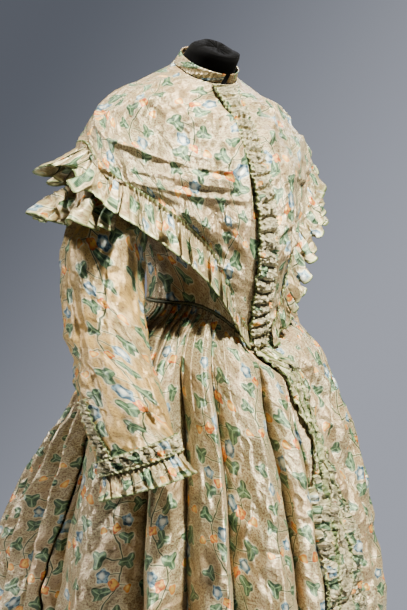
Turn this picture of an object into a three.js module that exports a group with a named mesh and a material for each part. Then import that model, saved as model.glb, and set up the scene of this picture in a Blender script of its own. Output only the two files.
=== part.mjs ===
// A printed silk afternoon dress of about 1850 on a limbless dress form with a round foot.
// Millimetres. +Z is up, the front faces -Y, the wearer's left is +X, and the origin is the middle of
// the foot's underside. A turn is an angle round the body: 0 at the front, 90 at the wearer's left,
// 180 at the back and -90 at the right.
import * as THREE from "three";

const DEG = Math.PI / 180;

// Cloth and seams
const CLOTH = 2; // printed silk with its cotton backing
const FRILL = 1.4; // a single layer, pinked at the edge
const SEAM = 0.3; // between two pieces that are sewn edge to edge
const LAP = 0.6; // under a piece that lies on another

// Heights
const NECKLINE = 1308;
const NECKBAND_HEIGHT = 15;
const ARMHOLE = { level: 1195, half: 48, turn: 29 };
const WAIST = { side: 949, point: 874, turn: 62 };
const HEM = 15;
const FORM_UNDERSIDE = 800;
const FORM_TOP = 1351;

// Stand
const FOOT = { radius: 200, thick: 10, bevel: 4 };
const POLE_RADIUS = 14;

// Trims and frills
const PIPING_RADIUS = 2.2;
const BODICE_TRIM = { from: 1305, to: 872, top: 19, bottom: 20, height: 6, puff: 27, lift: 1.6 };
const SKIRT_TRIM = { from: 867, to: 19, top: 19, bottom: 78, height: 7, puff: 70, lift: 4.8 };
const TRIM_DRIFT = 7.5; // how far the strip turns to the wearer's left below the point
const CUFF_TRIM = { width: 23, height: 5, puffs: 8 };
const SLIT_TRIM = { width: 22, height: 5, puffs: 4, angle: 128, length: 74 };
const CUFF_FRILL = { depth: 32, lap: 5, flare: 12, wave: 5, waves: 7 };

function table(columns, ...rows) {
  return rows.map((row) => Object.fromEntries(columns.map((name, i) => [name, row[i]])));
}

// The body inside the bodice as level rings. front and back reach from the middle, lean moves the
// sides back, and tilt lowers the front of the ring and lifts its back. The last three columns are
// how far the pelerine collar hangs outside it.
const BODY = table(
  ["level", "side", "front", "back", "lean", "tilt", "overSide", "overFront", "overBack"],
  [800, 163, 105, 140, 0, 0, 8, 6, 6],
  [850, 152, 106, 130, 0, 0, 8, 6, 6],
  [905, 124, 111, 100, 0, 0, 8, 6, 6],
  [955, 108, 119, 86, 0, 0, 8, 6, 6],
  [1000, 112, 128, 87, 1, 0, 14, 6, 6],
  [1040, 121, 131, 94, 3, 0, 28, 6, 7],
  [1095, 138, 126, 104, 9, 0, 66, 8, 9],
  [1147, 150, 111, 111, 18, 0, 88, 12, 12],
  [1195, 161, 90, 110, 30, 3, 58, 15, 14],
  [1243, 154, 67, 93, 38, 10, 25.5, 12, 12],
  [1262, 136, 56, 80, 32, 15, 14, 9, 9],
  [1287, 87, 42, 64, 18, 20, 9, 7, 7],
  [1308, 54, 34, 54, 5, 22, 6, 6, 6],
  [1320, 49, 40, 47, -1, 21, 6, 6, 6],
  [1331, 47, 48, 39, -5, 19, 6, 6, 6],
  [1341, 45, 54, 31, -11, 17, 6, 6, 6],
  [1348, 38, 52, 22, -16, 15, 6, 6, 6],
  [1351, 24, 40, 8, -18, 14, 6, 6, 6],
);

// The skirt over its petticoats as level rings
const SKIRT = table(
  ["level", "side", "front", "back"],
  [15, 375, 345, 540],
  [455, 277, 278, 446],
  [560, 262, 264, 402],
  [690, 245, 231, 318],
  [770, 230, 200, 228],
  [850, 206, 160, 154],
  [905, 146, 116, 128],
  [945, 112, 117, 92],
);

// The skirt's folds: each starts at its turn, runs on to the next one's, and stands out by its depth
// at the hem, growing from its start below the waist seam.
const FOLDS = table(
  ["turn", "depth", "start"],
  [-175, 46, 10],
  [-161, 40, 20],
  [-148, 46, 0],
  [-135, 42, 10],
  [-120, 40, 20],
  [-103, 40, 10],
  [-88, 34, 20],
  [-74, 30, 40],
  [-61, 32, 60],
  [-47, 26, 70],
  [-34, 34, 40],
  [-20, 22, 60],
  [-10, 3, 60],
  [0, 3, 60],
  [10, 3, 60],
  [20, 22, 60],
  [32, 28, 50],
  [46, 26, 40],
  [58, 30, 30],
  [69, 34, 20],
  [79, 32, 10],
  [88, 36, 30],
  [98, 34, 10],
  [109, 42, 20],
  [121, 38, 0],
  [133, 40, 20],
  [145, 46, 10],
  [158, 40, 20],
  [171, 44, 10],
);

// Seams of the skirt's breadths, each at the turn of a fold's start
const BREADTHS = [
  { name: "skirt_front", from: -34, to: 32 },
  { name: "skirt_side_left", from: 32, to: 88 },
  { name: "skirt_back_left", from: 88, to: 145 },
  { name: "skirt_back", from: 145, to: 199 },
  { name: "skirt_back_right", from: 199, to: 257 },
  { name: "skirt_side_right", from: 257, to: 326 },
];

// The left arm is drawn back, so that the collar and the frills stand out less on that side.
const LEFT_FULLNESS = 0.7;

// The collar's outer seam, where its frill is sewn on, as heights round the body
const COLLAR_EDGE = table(
  ["turn", "level"],
  [0, 882],
  [10, 893],
  [20, 922],
  [30, 964],
  [45, 1034],
  [60, 1100],
  [75, 1150],
  [90, 1182],
  [110, 1178],
  [130, 1150],
  [155, 1105],
  [180, 1078],
);
const COLLAR_FRONT_EDGE = table(["level", "away"], [880, 20], [1000, 25], [1200, 25], [1310, 22]);

// The collar's frill: its depth, how far its lower edge flares out, and its waves
const COLLAR_FRILL = table(
  ["turn", "drop", "flare", "wave"],
  [0, 12, 2, 2],
  [20, 26, 6, 4],
  [40, 44, 16, 5],
  [60, 54, 34, 6],
  [75, 54, 50, 7],
  [90, 52, 55, 8],
  [120, 54, 42, 8],
  [150, 52, 20, 7],
  [180, 50, 12, 6],
);
const FRILL_HEADER = 6;

// Sleeves as rings along the arm. The ring's centre is x, y, z; deep is its half size to the front
// and wide its half size outwards. turn swings the wide axis from up to outwards, pitch lifts the
// front of the ring, and yaw turns the front towards the middle of the body.
const ARM_COLUMNS = ["ring", "x", "y", "z", "deep", "wide", "turn", "pitch", "yaw"];
const SHOULDER_RINGS = [
  [0, 154, 25, 1195, 48, 48, 4, 0, 0],
  [1, 163, 25, 1191, 46, 44, 11, 0, 0],
];
const SLEEVE_RIGHT = table(
  ARM_COLUMNS,
  ...SHOULDER_RINGS,
  [2, 171, 24, 1178, 47, 41, 22, 0, 0],
  [3, 181, 22, 1153, 49, 38, 42, 0, 0],
  [4, 192, 23, 1118, 50, 40, 68, 0, 0],
  [5, 203, 16, 1075, 62, 49, 84, 0, 0],
  [6, 212, 10, 1026, 67, 54, 90, 2, 0],
  [7, 219, 0, 960, 67, 55, 90, 8, 2],
  [8, 231, -26, 895, 65, 52, 90, 18, 8],
  [9, 245, -58, 844, 63, 46, 90, 24, 18],
  [10, 251, -86, 796, 64, 42, 90, 24, 28],
  [11, 257, -108, 752, 67, 36, 90, 21, 36],
  [12, 261, -124, 716, 70, 32, 90, 18, 42],
);
const SLEEVE_LEFT = table(
  ARM_COLUMNS,
  ...SHOULDER_RINGS,
  [2, 169, 25, 1178, 46, 39, 22, 0, 0],
  [3, 174, 27, 1153, 48, 35, 42, 0, 0],
  [4, 177, 31, 1118, 51, 37, 68, 0, 0],
  [5, 188, 38, 1075, 58, 48, 84, -4, 0],
  [6, 190, 52, 1026, 58, 50, 90, -8, 0],
  [7, 198, 72, 960, 58, 50, 90, -8, 0],
  [8, 216, 90, 895, 58, 47, 90, -4, 0],
  [9, 238, 98, 836, 58, 43, 90, 2, 0],
  [10, 262, 102, 782, 60, 38, 90, 6, 0],
  [11, 278, 100, 738, 66, 36, 90, 8, 0],
  [12, 288, 97, 702, 70, 34, 90, 8, 0],
);
const LAST_RING = 12;
const SLEEVE_COLUMNS = 14;

// The short frill round the top of each sleeve, from front to back over the outer side
const SHOULDER_FRILL = { ring: 3.3, rings: 2, from: -20, to: 192, flare: 14, wave: 6, waves: 6 };

// ---------------------------------------------------------------------------------------------
// Tables, rings and walls

// A table's column as a smooth curve through its rows, which stand in rising order of the key.
function read(rows, key, name, at) {
  const last = rows.length - 1;
  if (at <= rows[0][key]) return rows[0][name];
  if (at >= rows[last][key]) return rows[last][name];
  let i = 0;
  while (at > rows[i + 1][key]) i += 1;
  const slope = (k) => {
    const before = rows[Math.max(k - 1, 0)];
    const after = rows[Math.min(k + 1, last)];
    return (after[name] - before[name]) / (after[key] - before[key]);
  };
  const span = rows[i + 1][key] - rows[i][key];
  const f = (at - rows[i][key]) / span;
  const g = 1 - f;
  return (
    rows[i][name] * (1 + 2 * f) * g * g +
    slope(i) * span * f * g * g +
    rows[i + 1][name] * f * f * (3 - 2 * f) -
    slope(i + 1) * span * f * f * g
  );
}

function mix(a, b, f) {
  return a + (b - a) * f;
}

function ease(from, to, at) {
  const f = THREE.MathUtils.clamp((at - from) / (to - from), 0, 1);
  return f * f * (3 - 2 * f);
}

// The same turn between -180 and 180
function wrap(turn) {
  return ((((turn + 180) % 360) + 360) % 360) - 180;
}

// Equal steps from 0 to 1
function steps(count) {
  return Array.from({ length: count + 1 }, (_, i) => i / count);
}

// A value from a list of levels at v from 0 to 1, straight between them
function along(levels, v) {
  const last = levels.length - 1;
  const k = THREE.MathUtils.clamp(Math.floor(v * last), 0, last - 1);
  return mix(levels[k], levels[k + 1], v * last - k);
}

// A point on a ring of unequal front and back
function ringPoint({ side, front, back, lean = 0, tilt = 0 }, turn, level) {
  const s = Math.sin(turn * DEG);
  const c = Math.cos(turn * DEG);
  return new THREE.Vector3(side * s, lean * s * s - (c > 0 ? front : back) * c, level - tilt * c);
}

function bodyRing(level) {
  const at = (name) => read(BODY, "level", name, level);
  return { side: at("side"), front: at("front"), back: at("back"), lean: at("lean"), tilt: at("tilt") };
}

function bodyPoint(turn, level) {
  return ringPoint(bodyRing(level), turn, level);
}

// The collar lies close to the chest and the back, and stands out over the tops of the sleeves.
function collarRing(turn, level) {
  const ring = bodyRing(level);
  const at = (name) => read(BODY, "level", name, level);
  const fromMiddle = 90 - Math.abs(90 - Math.abs(wrap(turn)));
  const fullness = wrap(turn) < 0 ? 1 : mix(LEFT_FULLNESS, 1, ease(1140, 1200, level));
  ring.side += mix(Math.min(8, at("overSide")), at("overSide") * fullness, ease(22, 78, fromMiddle));
  ring.front += at("overFront");
  ring.back += at("overBack");
  return ring;
}

function collarPoint(turn, level) {
  return ringPoint(collarRing(turn, level), turn, level);
}

// The outward direction of a surface of u and v; flip is true where u crossed with v points inwards.
function outward(surface, u, v, flip) {
  const d = 1e-3;
  const alongU = surface(u + d, v).sub(surface(u - d, v));
  const alongV = surface(u, v + d).sub(surface(u, v - d));
  return alongU.cross(alongV).normalize().multiplyScalar(flip ? -1 : 1);
}

function mesh(name, positions, index, colour, roughness = 0.7) {
  const geometry = new THREE.BufferGeometry();
  geometry.setAttribute("position", new THREE.Float32BufferAttribute(positions, 3));
  geometry.setIndex(index);
  geometry.computeVertexNormals();
  const made = new THREE.Mesh(
    geometry,
    new THREE.MeshStandardMaterial({ color: colour, roughness, metalness: 0 }),
  );
  made.name = name;
  return made;
}

// A sheet as one closed wall. surface(u, v) is a point of the sheet; its inner face lies lift outside
// it and its outer face a wall further. columns and rows are the values of u and v with corners on
// them, and closed joins the last column to the first.
function sheet(name, surface, columns, rows, options = {}) {
  const { lift = 0, wall = CLOTH, closed = false, flip = false, colour = 0xcdb694 } = options;
  const { normal = (u, v) => outward(surface, u, v, flip) } = options;
  const value = (x, u, v) => (typeof x === "function" ? x(u, v) : x);
  const across = closed ? columns.slice(0, -1) : columns;
  const positions = [];
  for (const face of [0, 1]) {
    for (const v of rows) {
      for (const u of across) {
        const away = value(lift, u, v) + face * value(wall, u, v);
        positions.push(...surface(u, v).addScaledVector(normal(u, v), away).toArray());
      }
    }
  }
  const width = across.length;
  const height = rows.length;
  const at = (face, i, j) => (face * height + j) * width + (i % width);
  const index = [];
  const quad = (a, b, c, d, turned) => {
    index.push(...(turned ? [a, c, b, a, d, c] : [a, b, c, a, c, d]));
  };
  const cells = closed ? width : width - 1;
  for (let j = 0; j < height - 1; j += 1) {
    for (let i = 0; i < cells; i += 1) {
      for (const face of [0, 1]) {
        const [a, b] = [at(face, i, j), at(face, i + 1, j)];
        const [c, d] = [at(face, i + 1, j + 1), at(face, i, j + 1)];
        quad(a, b, c, d, (face === 0) !== flip);
      }
    }
  }
  for (let i = 0; i < cells; i += 1) {
    quad(at(0, i, 0), at(0, i + 1, 0), at(1, i + 1, 0), at(1, i, 0), flip);
    const end = height - 1;
    quad(at(0, i, end), at(0, i + 1, end), at(1, i + 1, end), at(1, i, end), !flip);
  }
  if (!closed) {
    for (let j = 0; j < height - 1; j += 1) {
      quad(at(0, 0, j), at(0, 0, j + 1), at(1, 0, j + 1), at(1, 0, j), !flip);
      const side = width - 1;
      quad(at(0, side, j), at(0, side, j + 1), at(1, side, j + 1), at(1, side, j), flip);
    }
  }
  return mesh(name, positions, index, colour);
}

// The facet of a sheet: straight between the rows of corners
function facet(surface, rows, u, v) {
  let k = 0;
  while (k < rows.length - 2 && v > rows[k + 1]) k += 1;
  return surface(u, rows[k]).lerp(surface(u, rows[k + 1]), (v - rows[k]) / (rows[k + 1] - rows[k]));
}

// A closed solid from rings of corners, with a flat or pointed end at each end
function rings(name, corner, around, rows, colour, roughness) {
  const positions = [];
  for (const v of rows) {
    for (let i = 0; i < around; i += 1) positions.push(...corner(i / around, v).toArray());
  }
  const index = [];
  for (let j = 0; j < rows.length - 1; j += 1) {
    for (let i = 0; i < around; i += 1) {
      const a = j * around + i;
      const b = j * around + ((i + 1) % around);
      index.push(a, b, a + around, b, b + around, a + around);
    }
  }
  for (const end of [0, rows.length - 1]) {
    const middle = new THREE.Vector3();
    for (let i = 0; i < around; i += 1) middle.add(corner(i / around, rows[end]));
    middle.divideScalar(around);
    const centre = positions.length / 3;
    positions.push(...middle.toArray());
    for (let i = 0; i < around; i += 1) {
      const a = end * around + i;
      const b = end * around + ((i + 1) % around);
      index.push(...(end === 0 ? [centre, b, a] : [centre, a, b]));
    }
  }
  return mesh(name, positions, index, colour, roughness);
}

const dress = new THREE.Group();

// ---------------------------------------------------------------------------------------------
// Dress form: a padded torso with a rounded neck, close under the shoulders and clear elsewhere

const BODY_LEVELS = [1308, 1287, 1262, 1243, 1219, 1195, 1171, 1147, 1095, 1040];
const FORM_LEVELS = [
  FORM_UNDERSIDE,
  850,
  905,
  955,
  1000,
  ...BODY_LEVELS.slice().reverse(),
  1320,
  1331,
  1341,
  1348,
  FORM_TOP,
];
const FORM_COLUMNS = 24; // the bodice has corners at the same turns, so that it can lie close

function formPoint(u, level) {
  const surface = (a, b) => bodyPoint(a * 360, b);
  const clear = mix(8, 0.6, ease(1240, 1258, level) * (1 - ease(1288, 1304, level)));
  const flatEnd = level <= FORM_UNDERSIDE || level >= FORM_TOP;
  const inside = THREE.MathUtils.clamp(level, FORM_UNDERSIDE + 1, FORM_TOP - 1);
  const inward = outward(surface, u, inside, false);
  if (flatEnd) inward.setZ(0);
  return surface(u, level).addScaledVector(inward, -clear);
}

dress.add(rings("form_body", formPoint, FORM_COLUMNS, FORM_LEVELS, 0x17171a, 0.9));

// Stand: a steel pole in the form's underside, on a round steel foot
const poleHeight = FORM_UNDERSIDE - FOOT.thick - 2 * SEAM;
const pole = new THREE.Mesh(
  new THREE.CylinderGeometry(POLE_RADIUS, POLE_RADIUS, poleHeight, 24).rotateX(90 * DEG),
  new THREE.MeshStandardMaterial({ color: 0x2b2b2e, roughness: 0.4, metalness: 0.8 }),
);
pole.name = "stand_pole";
pole.position.z = FOOT.thick + SEAM + poleHeight / 2;
dress.add(pole);

const footProfile = [
  new THREE.Vector2(0, 0),
  new THREE.Vector2(FOOT.radius, 0),
  new THREE.Vector2(FOOT.radius, FOOT.thick - FOOT.bevel),
  new THREE.Vector2(FOOT.radius - FOOT.bevel, FOOT.thick),
  new THREE.Vector2(0, FOOT.thick),
];
const foot = new THREE.Mesh(
  new THREE.LatheGeometry(footProfile, 48).rotateX(90 * DEG),
  new THREE.MeshStandardMaterial({ color: 0x2b2b2e, roughness: 0.45, metalness: 0.8 }),
);
foot.name = "stand_foot";
dress.add(foot);

// ---------------------------------------------------------------------------------------------
// Bodice: two fronts that meet under the trim, and a back, with armholes cut out of the side seams
// and a pointed waist

// Height of the waist seam, lowest at the point in front
function waistLevel(turn) {
  const rise = 1 - Math.min(Math.abs(wrap(turn)) / WAIST.turn, 1);
  return mix(WAIST.side, WAIST.point, rise ** 1.7);
}

// How far the armhole cuts back from the side seam, in degrees
function armholeCut(level) {
  const f = (level - ARMHOLE.level) / ARMHOLE.half;
  return ARMHOLE.turn * Math.sqrt(Math.max(0, 1 - f * f));
}

const WAIST_ROWS = 2;
const BODICE_ROWS = BODY_LEVELS.length - 1 + WAIST_ROWS;
const SEAM_TURN = 0.12; // half of a seam's gap, as a turn

function bodicePanel(fromEdge, toEdge) {
  return (u, v) => {
    const turn = mix(fromEdge(BODY_LEVELS.at(-1)), toEdge(BODY_LEVELS.at(-1)), u);
    const levels = [...BODY_LEVELS];
    for (let k = 1; k <= WAIST_ROWS; k += 1) {
      levels.push(mix(BODY_LEVELS.at(-1), waistLevel(turn), k / WAIST_ROWS));
    }
    const level = along(levels, v);
    return bodyPoint(mix(fromEdge(level), toEdge(level), u), level);
  };
}

const frontSeam = (side) => () => side * 2 * SEAM_TURN;
const sideSeam = (side) => (level) => side * (90 - SEAM_TURN - armholeCut(level));
for (const [name, from, to] of [
  ["right", sideSeam(-1), frontSeam(-1)],
  ["left", frontSeam(1), sideSeam(1)],
]) {
  const columns = steps(FORM_COLUMNS / 4);
  const panel = bodicePanel(from, to);
  dress.add(sheet(`bodice_front_${name}`, panel, columns, steps(BODICE_ROWS), { flip: true }));
}
const backFrom = (level) => 90 + SEAM_TURN + armholeCut(level);
const backTo = (level) => 270 - SEAM_TURN - armholeCut(level);
dress.add(
  sheet("bodice_back", bodicePanel(backFrom, backTo), steps(FORM_COLUMNS / 2), steps(BODICE_ROWS), {
    flip: true,
  }),
);

// Neckband: a low stand, open in front, that clears the neck
const NECKBAND = { from: 7, to: 353, foot: 2.4 };
const NECKBAND_TOP = { side: 54, front: 50, back: 52, lean: 1, tilt: 24 };
dress.add(
  sheet(
    "neckband",
    (u, v) => {
      const turn = mix(NECKBAND.from, NECKBAND.to, u);
      const level = NECKLINE + NECKBAND.foot;
      const top = ringPoint(NECKBAND_TOP, turn, level + NECKBAND_HEIGHT);
      return bodyPoint(turn, NECKLINE).setZ(bodyPoint(turn, level).z).lerp(top, v);
    },
    steps(24),
    steps(1),
  ),
);

// Piping: a covered cord in the waist seam, from one side of the front trim round to the other
const PIPING = { from: 11.5, to: 348.5, corners: 34, sides: 5 };
dress.add(
  rings(
    "waist_piping",
    (u, v) => {
      const turn = mix(PIPING.from, PIPING.to, v);
      const level = waistLevel(turn) - PIPING_RADIUS - 2 * SEAM;
      const centre = bodyPoint(turn, level);
      const away = new THREE.Vector3(Math.sin(turn * DEG), -Math.cos(turn * DEG), 0);
      const angle = -u * 360 * DEG;
      return centre
        .addScaledVector(away, 1 + PIPING_RADIUS * Math.cos(angle))
        .add(new THREE.Vector3(0, 0, PIPING_RADIUS * Math.sin(angle)));
    },
    PIPING.sides,
    steps(PIPING.corners),
    0x3d3a22,
  ),
);

// ---------------------------------------------------------------------------------------------
// Pelerine collar: two fronts and a back, sewn together on the shoulders, with a frill on the edge

function collarEdge(turn) {
  return read(COLLAR_EDGE, "turn", "level", Math.abs(wrap(turn)));
}

const COLLAR_TOP = NECKLINE - 1;
const COLLAR_ROWS = 6;

function collarFront(side) {
  return (u, v) => {
    const lowest = 10;
    const level = mix(COLLAR_TOP, collarEdge(mix(lowest, 90, u)), v);
    const away = read(COLLAR_FRONT_EDGE, "level", "away", level);
    const first = Math.asin(away / collarRing(side * lowest, level).side) / DEG;
    return collarPoint(side * mix(first, 90 - SEAM_TURN, u), level);
  };
}

function collarBack(u, v) {
  const turn = mix(90 + SEAM_TURN, 270 - SEAM_TURN, u);
  return collarPoint(turn, mix(COLLAR_TOP, collarEdge(turn), v));
}

for (const [name, side] of [["right", -1], ["left", 1]]) {
  const front = collarFront(side);
  dress.add(sheet(`collar_front_${name}`, front, steps(6), steps(COLLAR_ROWS), { flip: side > 0 }));
}
dress.add(sheet("collar_back", collarBack, steps(12), steps(COLLAR_ROWS), { flip: true }));

// The frill hangs from the collar's edge. It is gathered at its top and waves at its free edge.
function collarFrill(from, to, waves) {
  const fullness = (turn) => mix(1, LEFT_FULLNESS ** 3, ease(0, 80, 90 - Math.abs(90 - wrap(turn))));
  const flat = (u, rise) => {
    const turn = mix(from, to, u);
    return collarPoint(turn, collarEdge(turn) + FRILL_HEADER + rise);
  };
  return (u, v) => {
    const turn = mix(from, to, u);
    const size = (name) => read(COLLAR_FRILL, "turn", name, Math.abs(wrap(turn)));
    const away = outward(flat, u, 0, to < from);
    const level = new THREE.Vector3(away.x, away.y, 0).normalize();
    const wave = Math.sin(u * waves * 2 * Math.PI) * size("wave") * v;
    return flat(u, 0)
      .addScaledVector(away, CLOTH + LAP + 0.4)
      .addScaledVector(level, size("flare") * fullness(turn) * v + wave)
      .add(new THREE.Vector3(0, 0, -(size("drop") + FRILL_HEADER) * v));
  };
}

const FRILL_ROWS = [0, 0.35, 1];

for (const [name, side] of [["right", -1], ["left", 1]]) {
  const waves = 7;
  const frill = collarFrill(side * 14, side * 89.7, waves);
  dress.add(
    sheet(`collar_frill_${name}`, frill, steps(waves * 4), FRILL_ROWS, {
      wall: FRILL,
      flip: side > 0,
    }),
  );
}
dress.add(
  sheet("collar_frill_back", collarFrill(90.3, 269.7, 10), steps(40), FRILL_ROWS, {
    wall: FRILL,
    flip: true,
  }),
);

// ---------------------------------------------------------------------------------------------
// Sleeves, with a short frill at the top, a ruched trim at the wrist and up the slit, and a frill

function sleeveSurface(rows, side) {
  return (u, v) => {
    const ring = v * LAST_RING;
    const at = (name) => read(rows, "ring", name, ring);
    const angle = u * 360 * DEG;
    const [turn, pitch, yaw] = ["turn", "pitch", "yaw"].map((name) => at(name) * DEG);
    const frontwards = new THREE.Vector3(
      -Math.sin(yaw) * Math.cos(pitch),
      -Math.cos(yaw) * Math.cos(pitch),
      Math.sin(pitch),
    );
    const outwards = new THREE.Vector3(
      Math.cos(yaw) * Math.sin(turn),
      -Math.sin(yaw) * Math.sin(turn),
      Math.cos(turn),
    );
    const point = new THREE.Vector3(at("x"), at("y"), at("z"))
      .addScaledVector(frontwards, at("deep") * Math.cos(angle))
      .addScaledVector(outwards, at("wide") * Math.sin(angle));
    const seamTurn = 90 - (ARMHOLE.turn + 1) * Math.cos(angle);
    const seamLevel = ARMHOLE.level + (ARMHOLE.half + 1) * Math.sin(angle);
    const seam = bodyPoint(seamTurn, seamLevel).addScaledVector(
      outward(bodyPoint, seamTurn, seamLevel, false),
      CLOTH + LAP + 0.4,
    );
    const joined = seam.lerp(point, ease(0, 1, ring));
    return joined.setX(side * joined.x);
  };
}

for (const [name, side, rows] of [
  ["right", -1, SLEEVE_RIGHT],
  ["left", 1, SLEEVE_LEFT],
]) {
  const surface = sleeveSurface(rows, side);
  const flip = side > 0;
  const sleeveRows = steps(LAST_RING);
  dress.add(sheet(`sleeve_${name}`, surface, steps(SLEEVE_COLUMNS), sleeveRows, { closed: true, flip }));

  const frill = SHOULDER_FRILL;
  dress.add(
    sheet(
      `shoulder_frill_${name}`,
      (u, v) => {
        const angle = mix(frill.from, frill.to, u) / 360;
        const taper = Math.sqrt(Math.max(0, Math.sin(u * Math.PI)));
        const ring = (frill.ring + frill.rings * v * mix(0.5, 1, taper)) / LAST_RING;
        const away = outward(surface, angle, ring, flip);
        const wave = Math.sin(u * frill.waves * 2 * Math.PI) * frill.wave * taper;
        const flare = frill.flare * mix(0.6, 1, taper) * (side > 0 ? LEFT_FULLNESS : 1);
        const lift = CLOTH + LAP + 0.4 + (flare + wave) * Math.max(0, v) ** 1.4;
        return surface(angle, ring).addScaledVector(away, lift);
      },
      steps(frill.waves * 4),
      [0, 0.4, 1],
      { wall: FRILL, flip },
    ),
  );

  // Lengths up from the sleeve's end are shares of its last ring's own length.
  const faceted = (u, v) => facet(surface, sleeveRows, u, v);
  const ringLength = surface(0.25, 11 / LAST_RING).distanceTo(surface(0.25, 1));
  const fromEnd = (length) => (LAST_RING - length / ringLength) / LAST_RING;
  const bandTop = CUFF_TRIM.width + CUFF_FRILL.lap + 2;
  const puffed = (count, at) => mix(0.5, 1, Math.abs(Math.sin(at * count * Math.PI)));
  dress.add(
    sheet(
      `cuff_trim_${name}`,
      (u, v) => faceted(u, mix(fromEnd(bandTop), fromEnd(CUFF_FRILL.lap + 2), v)),
      steps(SLEEVE_COLUMNS),
      steps(2),
      {
        closed: true,
        flip,
        lift: CLOTH + 2 * LAP,
        wall: (u, v) => 2 + CUFF_TRIM.height * Math.sin(v * Math.PI) * puffed(CUFF_TRIM.puffs, u),
      },
    ),
  );

  // The frill is sewn on over the sleeve's end and flares below it.
  dress.add(
    sheet(
      `cuff_frill_${name}`,
      (u, v) => {
        const top = faceted(u, fromEnd(CUFF_FRILL.lap));
        const down = faceted(u, 1).sub(top).normalize();
        const away = outward(surface, u, 1 - 1e-3, flip);
        const wave = Math.sin(u * CUFF_FRILL.waves * 2 * Math.PI) * CUFF_FRILL.wave * v;
        return top
          .addScaledVector(down, (CUFF_FRILL.lap + CUFF_FRILL.depth) * v)
          .addScaledVector(away, CLOTH + 2 * LAP + CUFF_FRILL.flare * v + wave);
      },
      steps(CUFF_FRILL.waves * 4),
      steps(1),
      { wall: FRILL, closed: true, flip },
    ),
  );

  // A strip of the same ruching runs up the outer back of the sleeve from the band.
  const slitMiddle = SLIT_TRIM.angle / 360;
  dress.add(
    sheet(
      `slit_trim_${name}`,
      (u, v) => {
        const ring = fromEnd(bandTop + 2 + SLIT_TRIM.length * (1 - v));
        const before = surface(slitMiddle - 0.01, ring);
        const around = before.distanceTo(surface(slitMiddle + 0.01, ring)) / 0.02;
        return faceted(slitMiddle + ((u - 0.5) * SLIT_TRIM.width) / around, ring);
      },
      steps(2),
      steps(SLIT_TRIM.puffs * 2),
      {
        flip,
        lift: CLOTH + 2 * LAP,
        wall: (u, v) => 2 + SLIT_TRIM.height * Math.sin(u * Math.PI) * puffed(SLIT_TRIM.puffs, v),
      },
    ),
  );
}

// ---------------------------------------------------------------------------------------------
// Skirt: six breadths set in pleats under the pointed waist, over a dome of petticoats

const SKIRT_DROP = 2 * PIPING_RADIUS + 4 * SEAM;
const SKIRT_ROWS = [0, 0.07, 0.18, 0.38, 0.68, 1];
const DOME_REACH = 75; // how far below the seam the cloth takes to reach the dome
const FOLD_REACH = 330; // how far below its start a fold takes to open
const CORNERS_ACROSS_FOLD = [0, 0.25, 0.75];

// How far a fold stands out at a turn: a rounded ridge between two sharp valleys
function foldHeight(turn, drop) {
  const start = FOLDS[0].turn;
  const wrapped = ((((turn - start) % 360) + 360) % 360) + start;
  let k = 0;
  while (k < FOLDS.length - 1 && wrapped >= FOLDS[k + 1].turn) k += 1;
  const next = k === FOLDS.length - 1 ? start + 360 : FOLDS[k + 1].turn;
  const across = (wrapped - FOLDS[k].turn) / (next - FOLDS[k].turn);
  const open = ease(FOLDS[k].start, FOLDS[k].start + FOLD_REACH, drop);
  const rise = Math.max(0, Math.sin(Math.PI * across)) ** 0.7 - 0.55;
  return FOLDS[k].depth * open * rise;
}

function skirtLevel(turn, v) {
  return mix(waistLevel(turn) - SKIRT_DROP, HEM, v);
}

// The dome without its folds
function domePoint(turn, v) {
  const level = skirtLevel(turn, v);
  const at = (name) => read(SKIRT, "level", name, level);
  const dome = { side: at("side"), front: at("front"), back: at("back") };
  const out = ease(0, DOME_REACH, skirtLevel(turn, 0) - level);
  return bodyPoint(turn, level).lerp(ringPoint(dome, turn, level), out);
}

function skirtPoint(turn, v) {
  const away = new THREE.Vector3(Math.sin(turn * DEG), -Math.cos(turn * DEG), 0);
  const drop = skirtLevel(turn, 0) - skirtLevel(turn, v);
  return domePoint(turn, v).addScaledVector(away, foldHeight(turn, drop));
}

for (const { name, from, to } of BREADTHS) {
  const turns = [];
  for (let k = 0; k < 2 * FOLDS.length; k += 1) {
    const here = FOLDS[k % FOLDS.length].turn + 360 * Math.floor(k / FOLDS.length);
    const next = FOLDS[(k + 1) % FOLDS.length].turn + 360 * Math.floor((k + 1) / FOLDS.length);
    if (here >= from && here < to) {
      turns.push(...CORNERS_ACROSS_FOLD.map((f) => mix(here, next, f)));
    }
  }
  turns[0] += SEAM_TURN;
  turns.push(to - SEAM_TURN);
  const last = turns.length - 1;
  // A seam lies in a valley, where the wall's direction is the dome's.
  const normal = (u, v) => {
    const i = Math.round(u * last);
    const folded = Math.abs(foldHeight(turns[i], FOLD_REACH * 2)) > 0;
    const valley = folded && i % CORNERS_ACROSS_FOLD.length === 0;
    return outward(valley ? domePoint : skirtPoint, turns[i], v, true);
  };
  dress.add(
    sheet(name, (u, v) => skirtPoint(along(turns, u), v), turns.map((_, i) => i / last), SKIRT_ROWS, {
      flip: true,
      normal,
    }),
  );
}

// Trim down the front: a strip gathered into puffs with frilled edges, sewn flat on the bodice to the
// point and on down the skirt

// The cloth under the trim, away from the middle by a length: the bodice, and the skirt below its seam
function frontCloth(away, level) {
  const turn = Math.asin(away / bodyRing(Math.max(level, WAIST.point)).side) / DEG;
  if (level > skirtLevel(turn, 0)) return bodyPoint(turn, level);
  const below = WAIST.point - level;
  const drift = mix(TRIM_DRIFT * ease(0, 40, below), 6, ease(40, 200, below));
  const around = read(SKIRT, "level", "side", level);
  const straight = drift + Math.asin(away / around) / DEG;
  const skirtTurn = mix(turn, straight, ease(0, 40, skirtLevel(0, 0) - level));
  const v = (skirtLevel(skirtTurn, 0) - level) / (skirtLevel(skirtTurn, 0) - HEM);
  return facet(skirtPoint, SKIRT_ROWS, skirtTurn, v);
}

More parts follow.
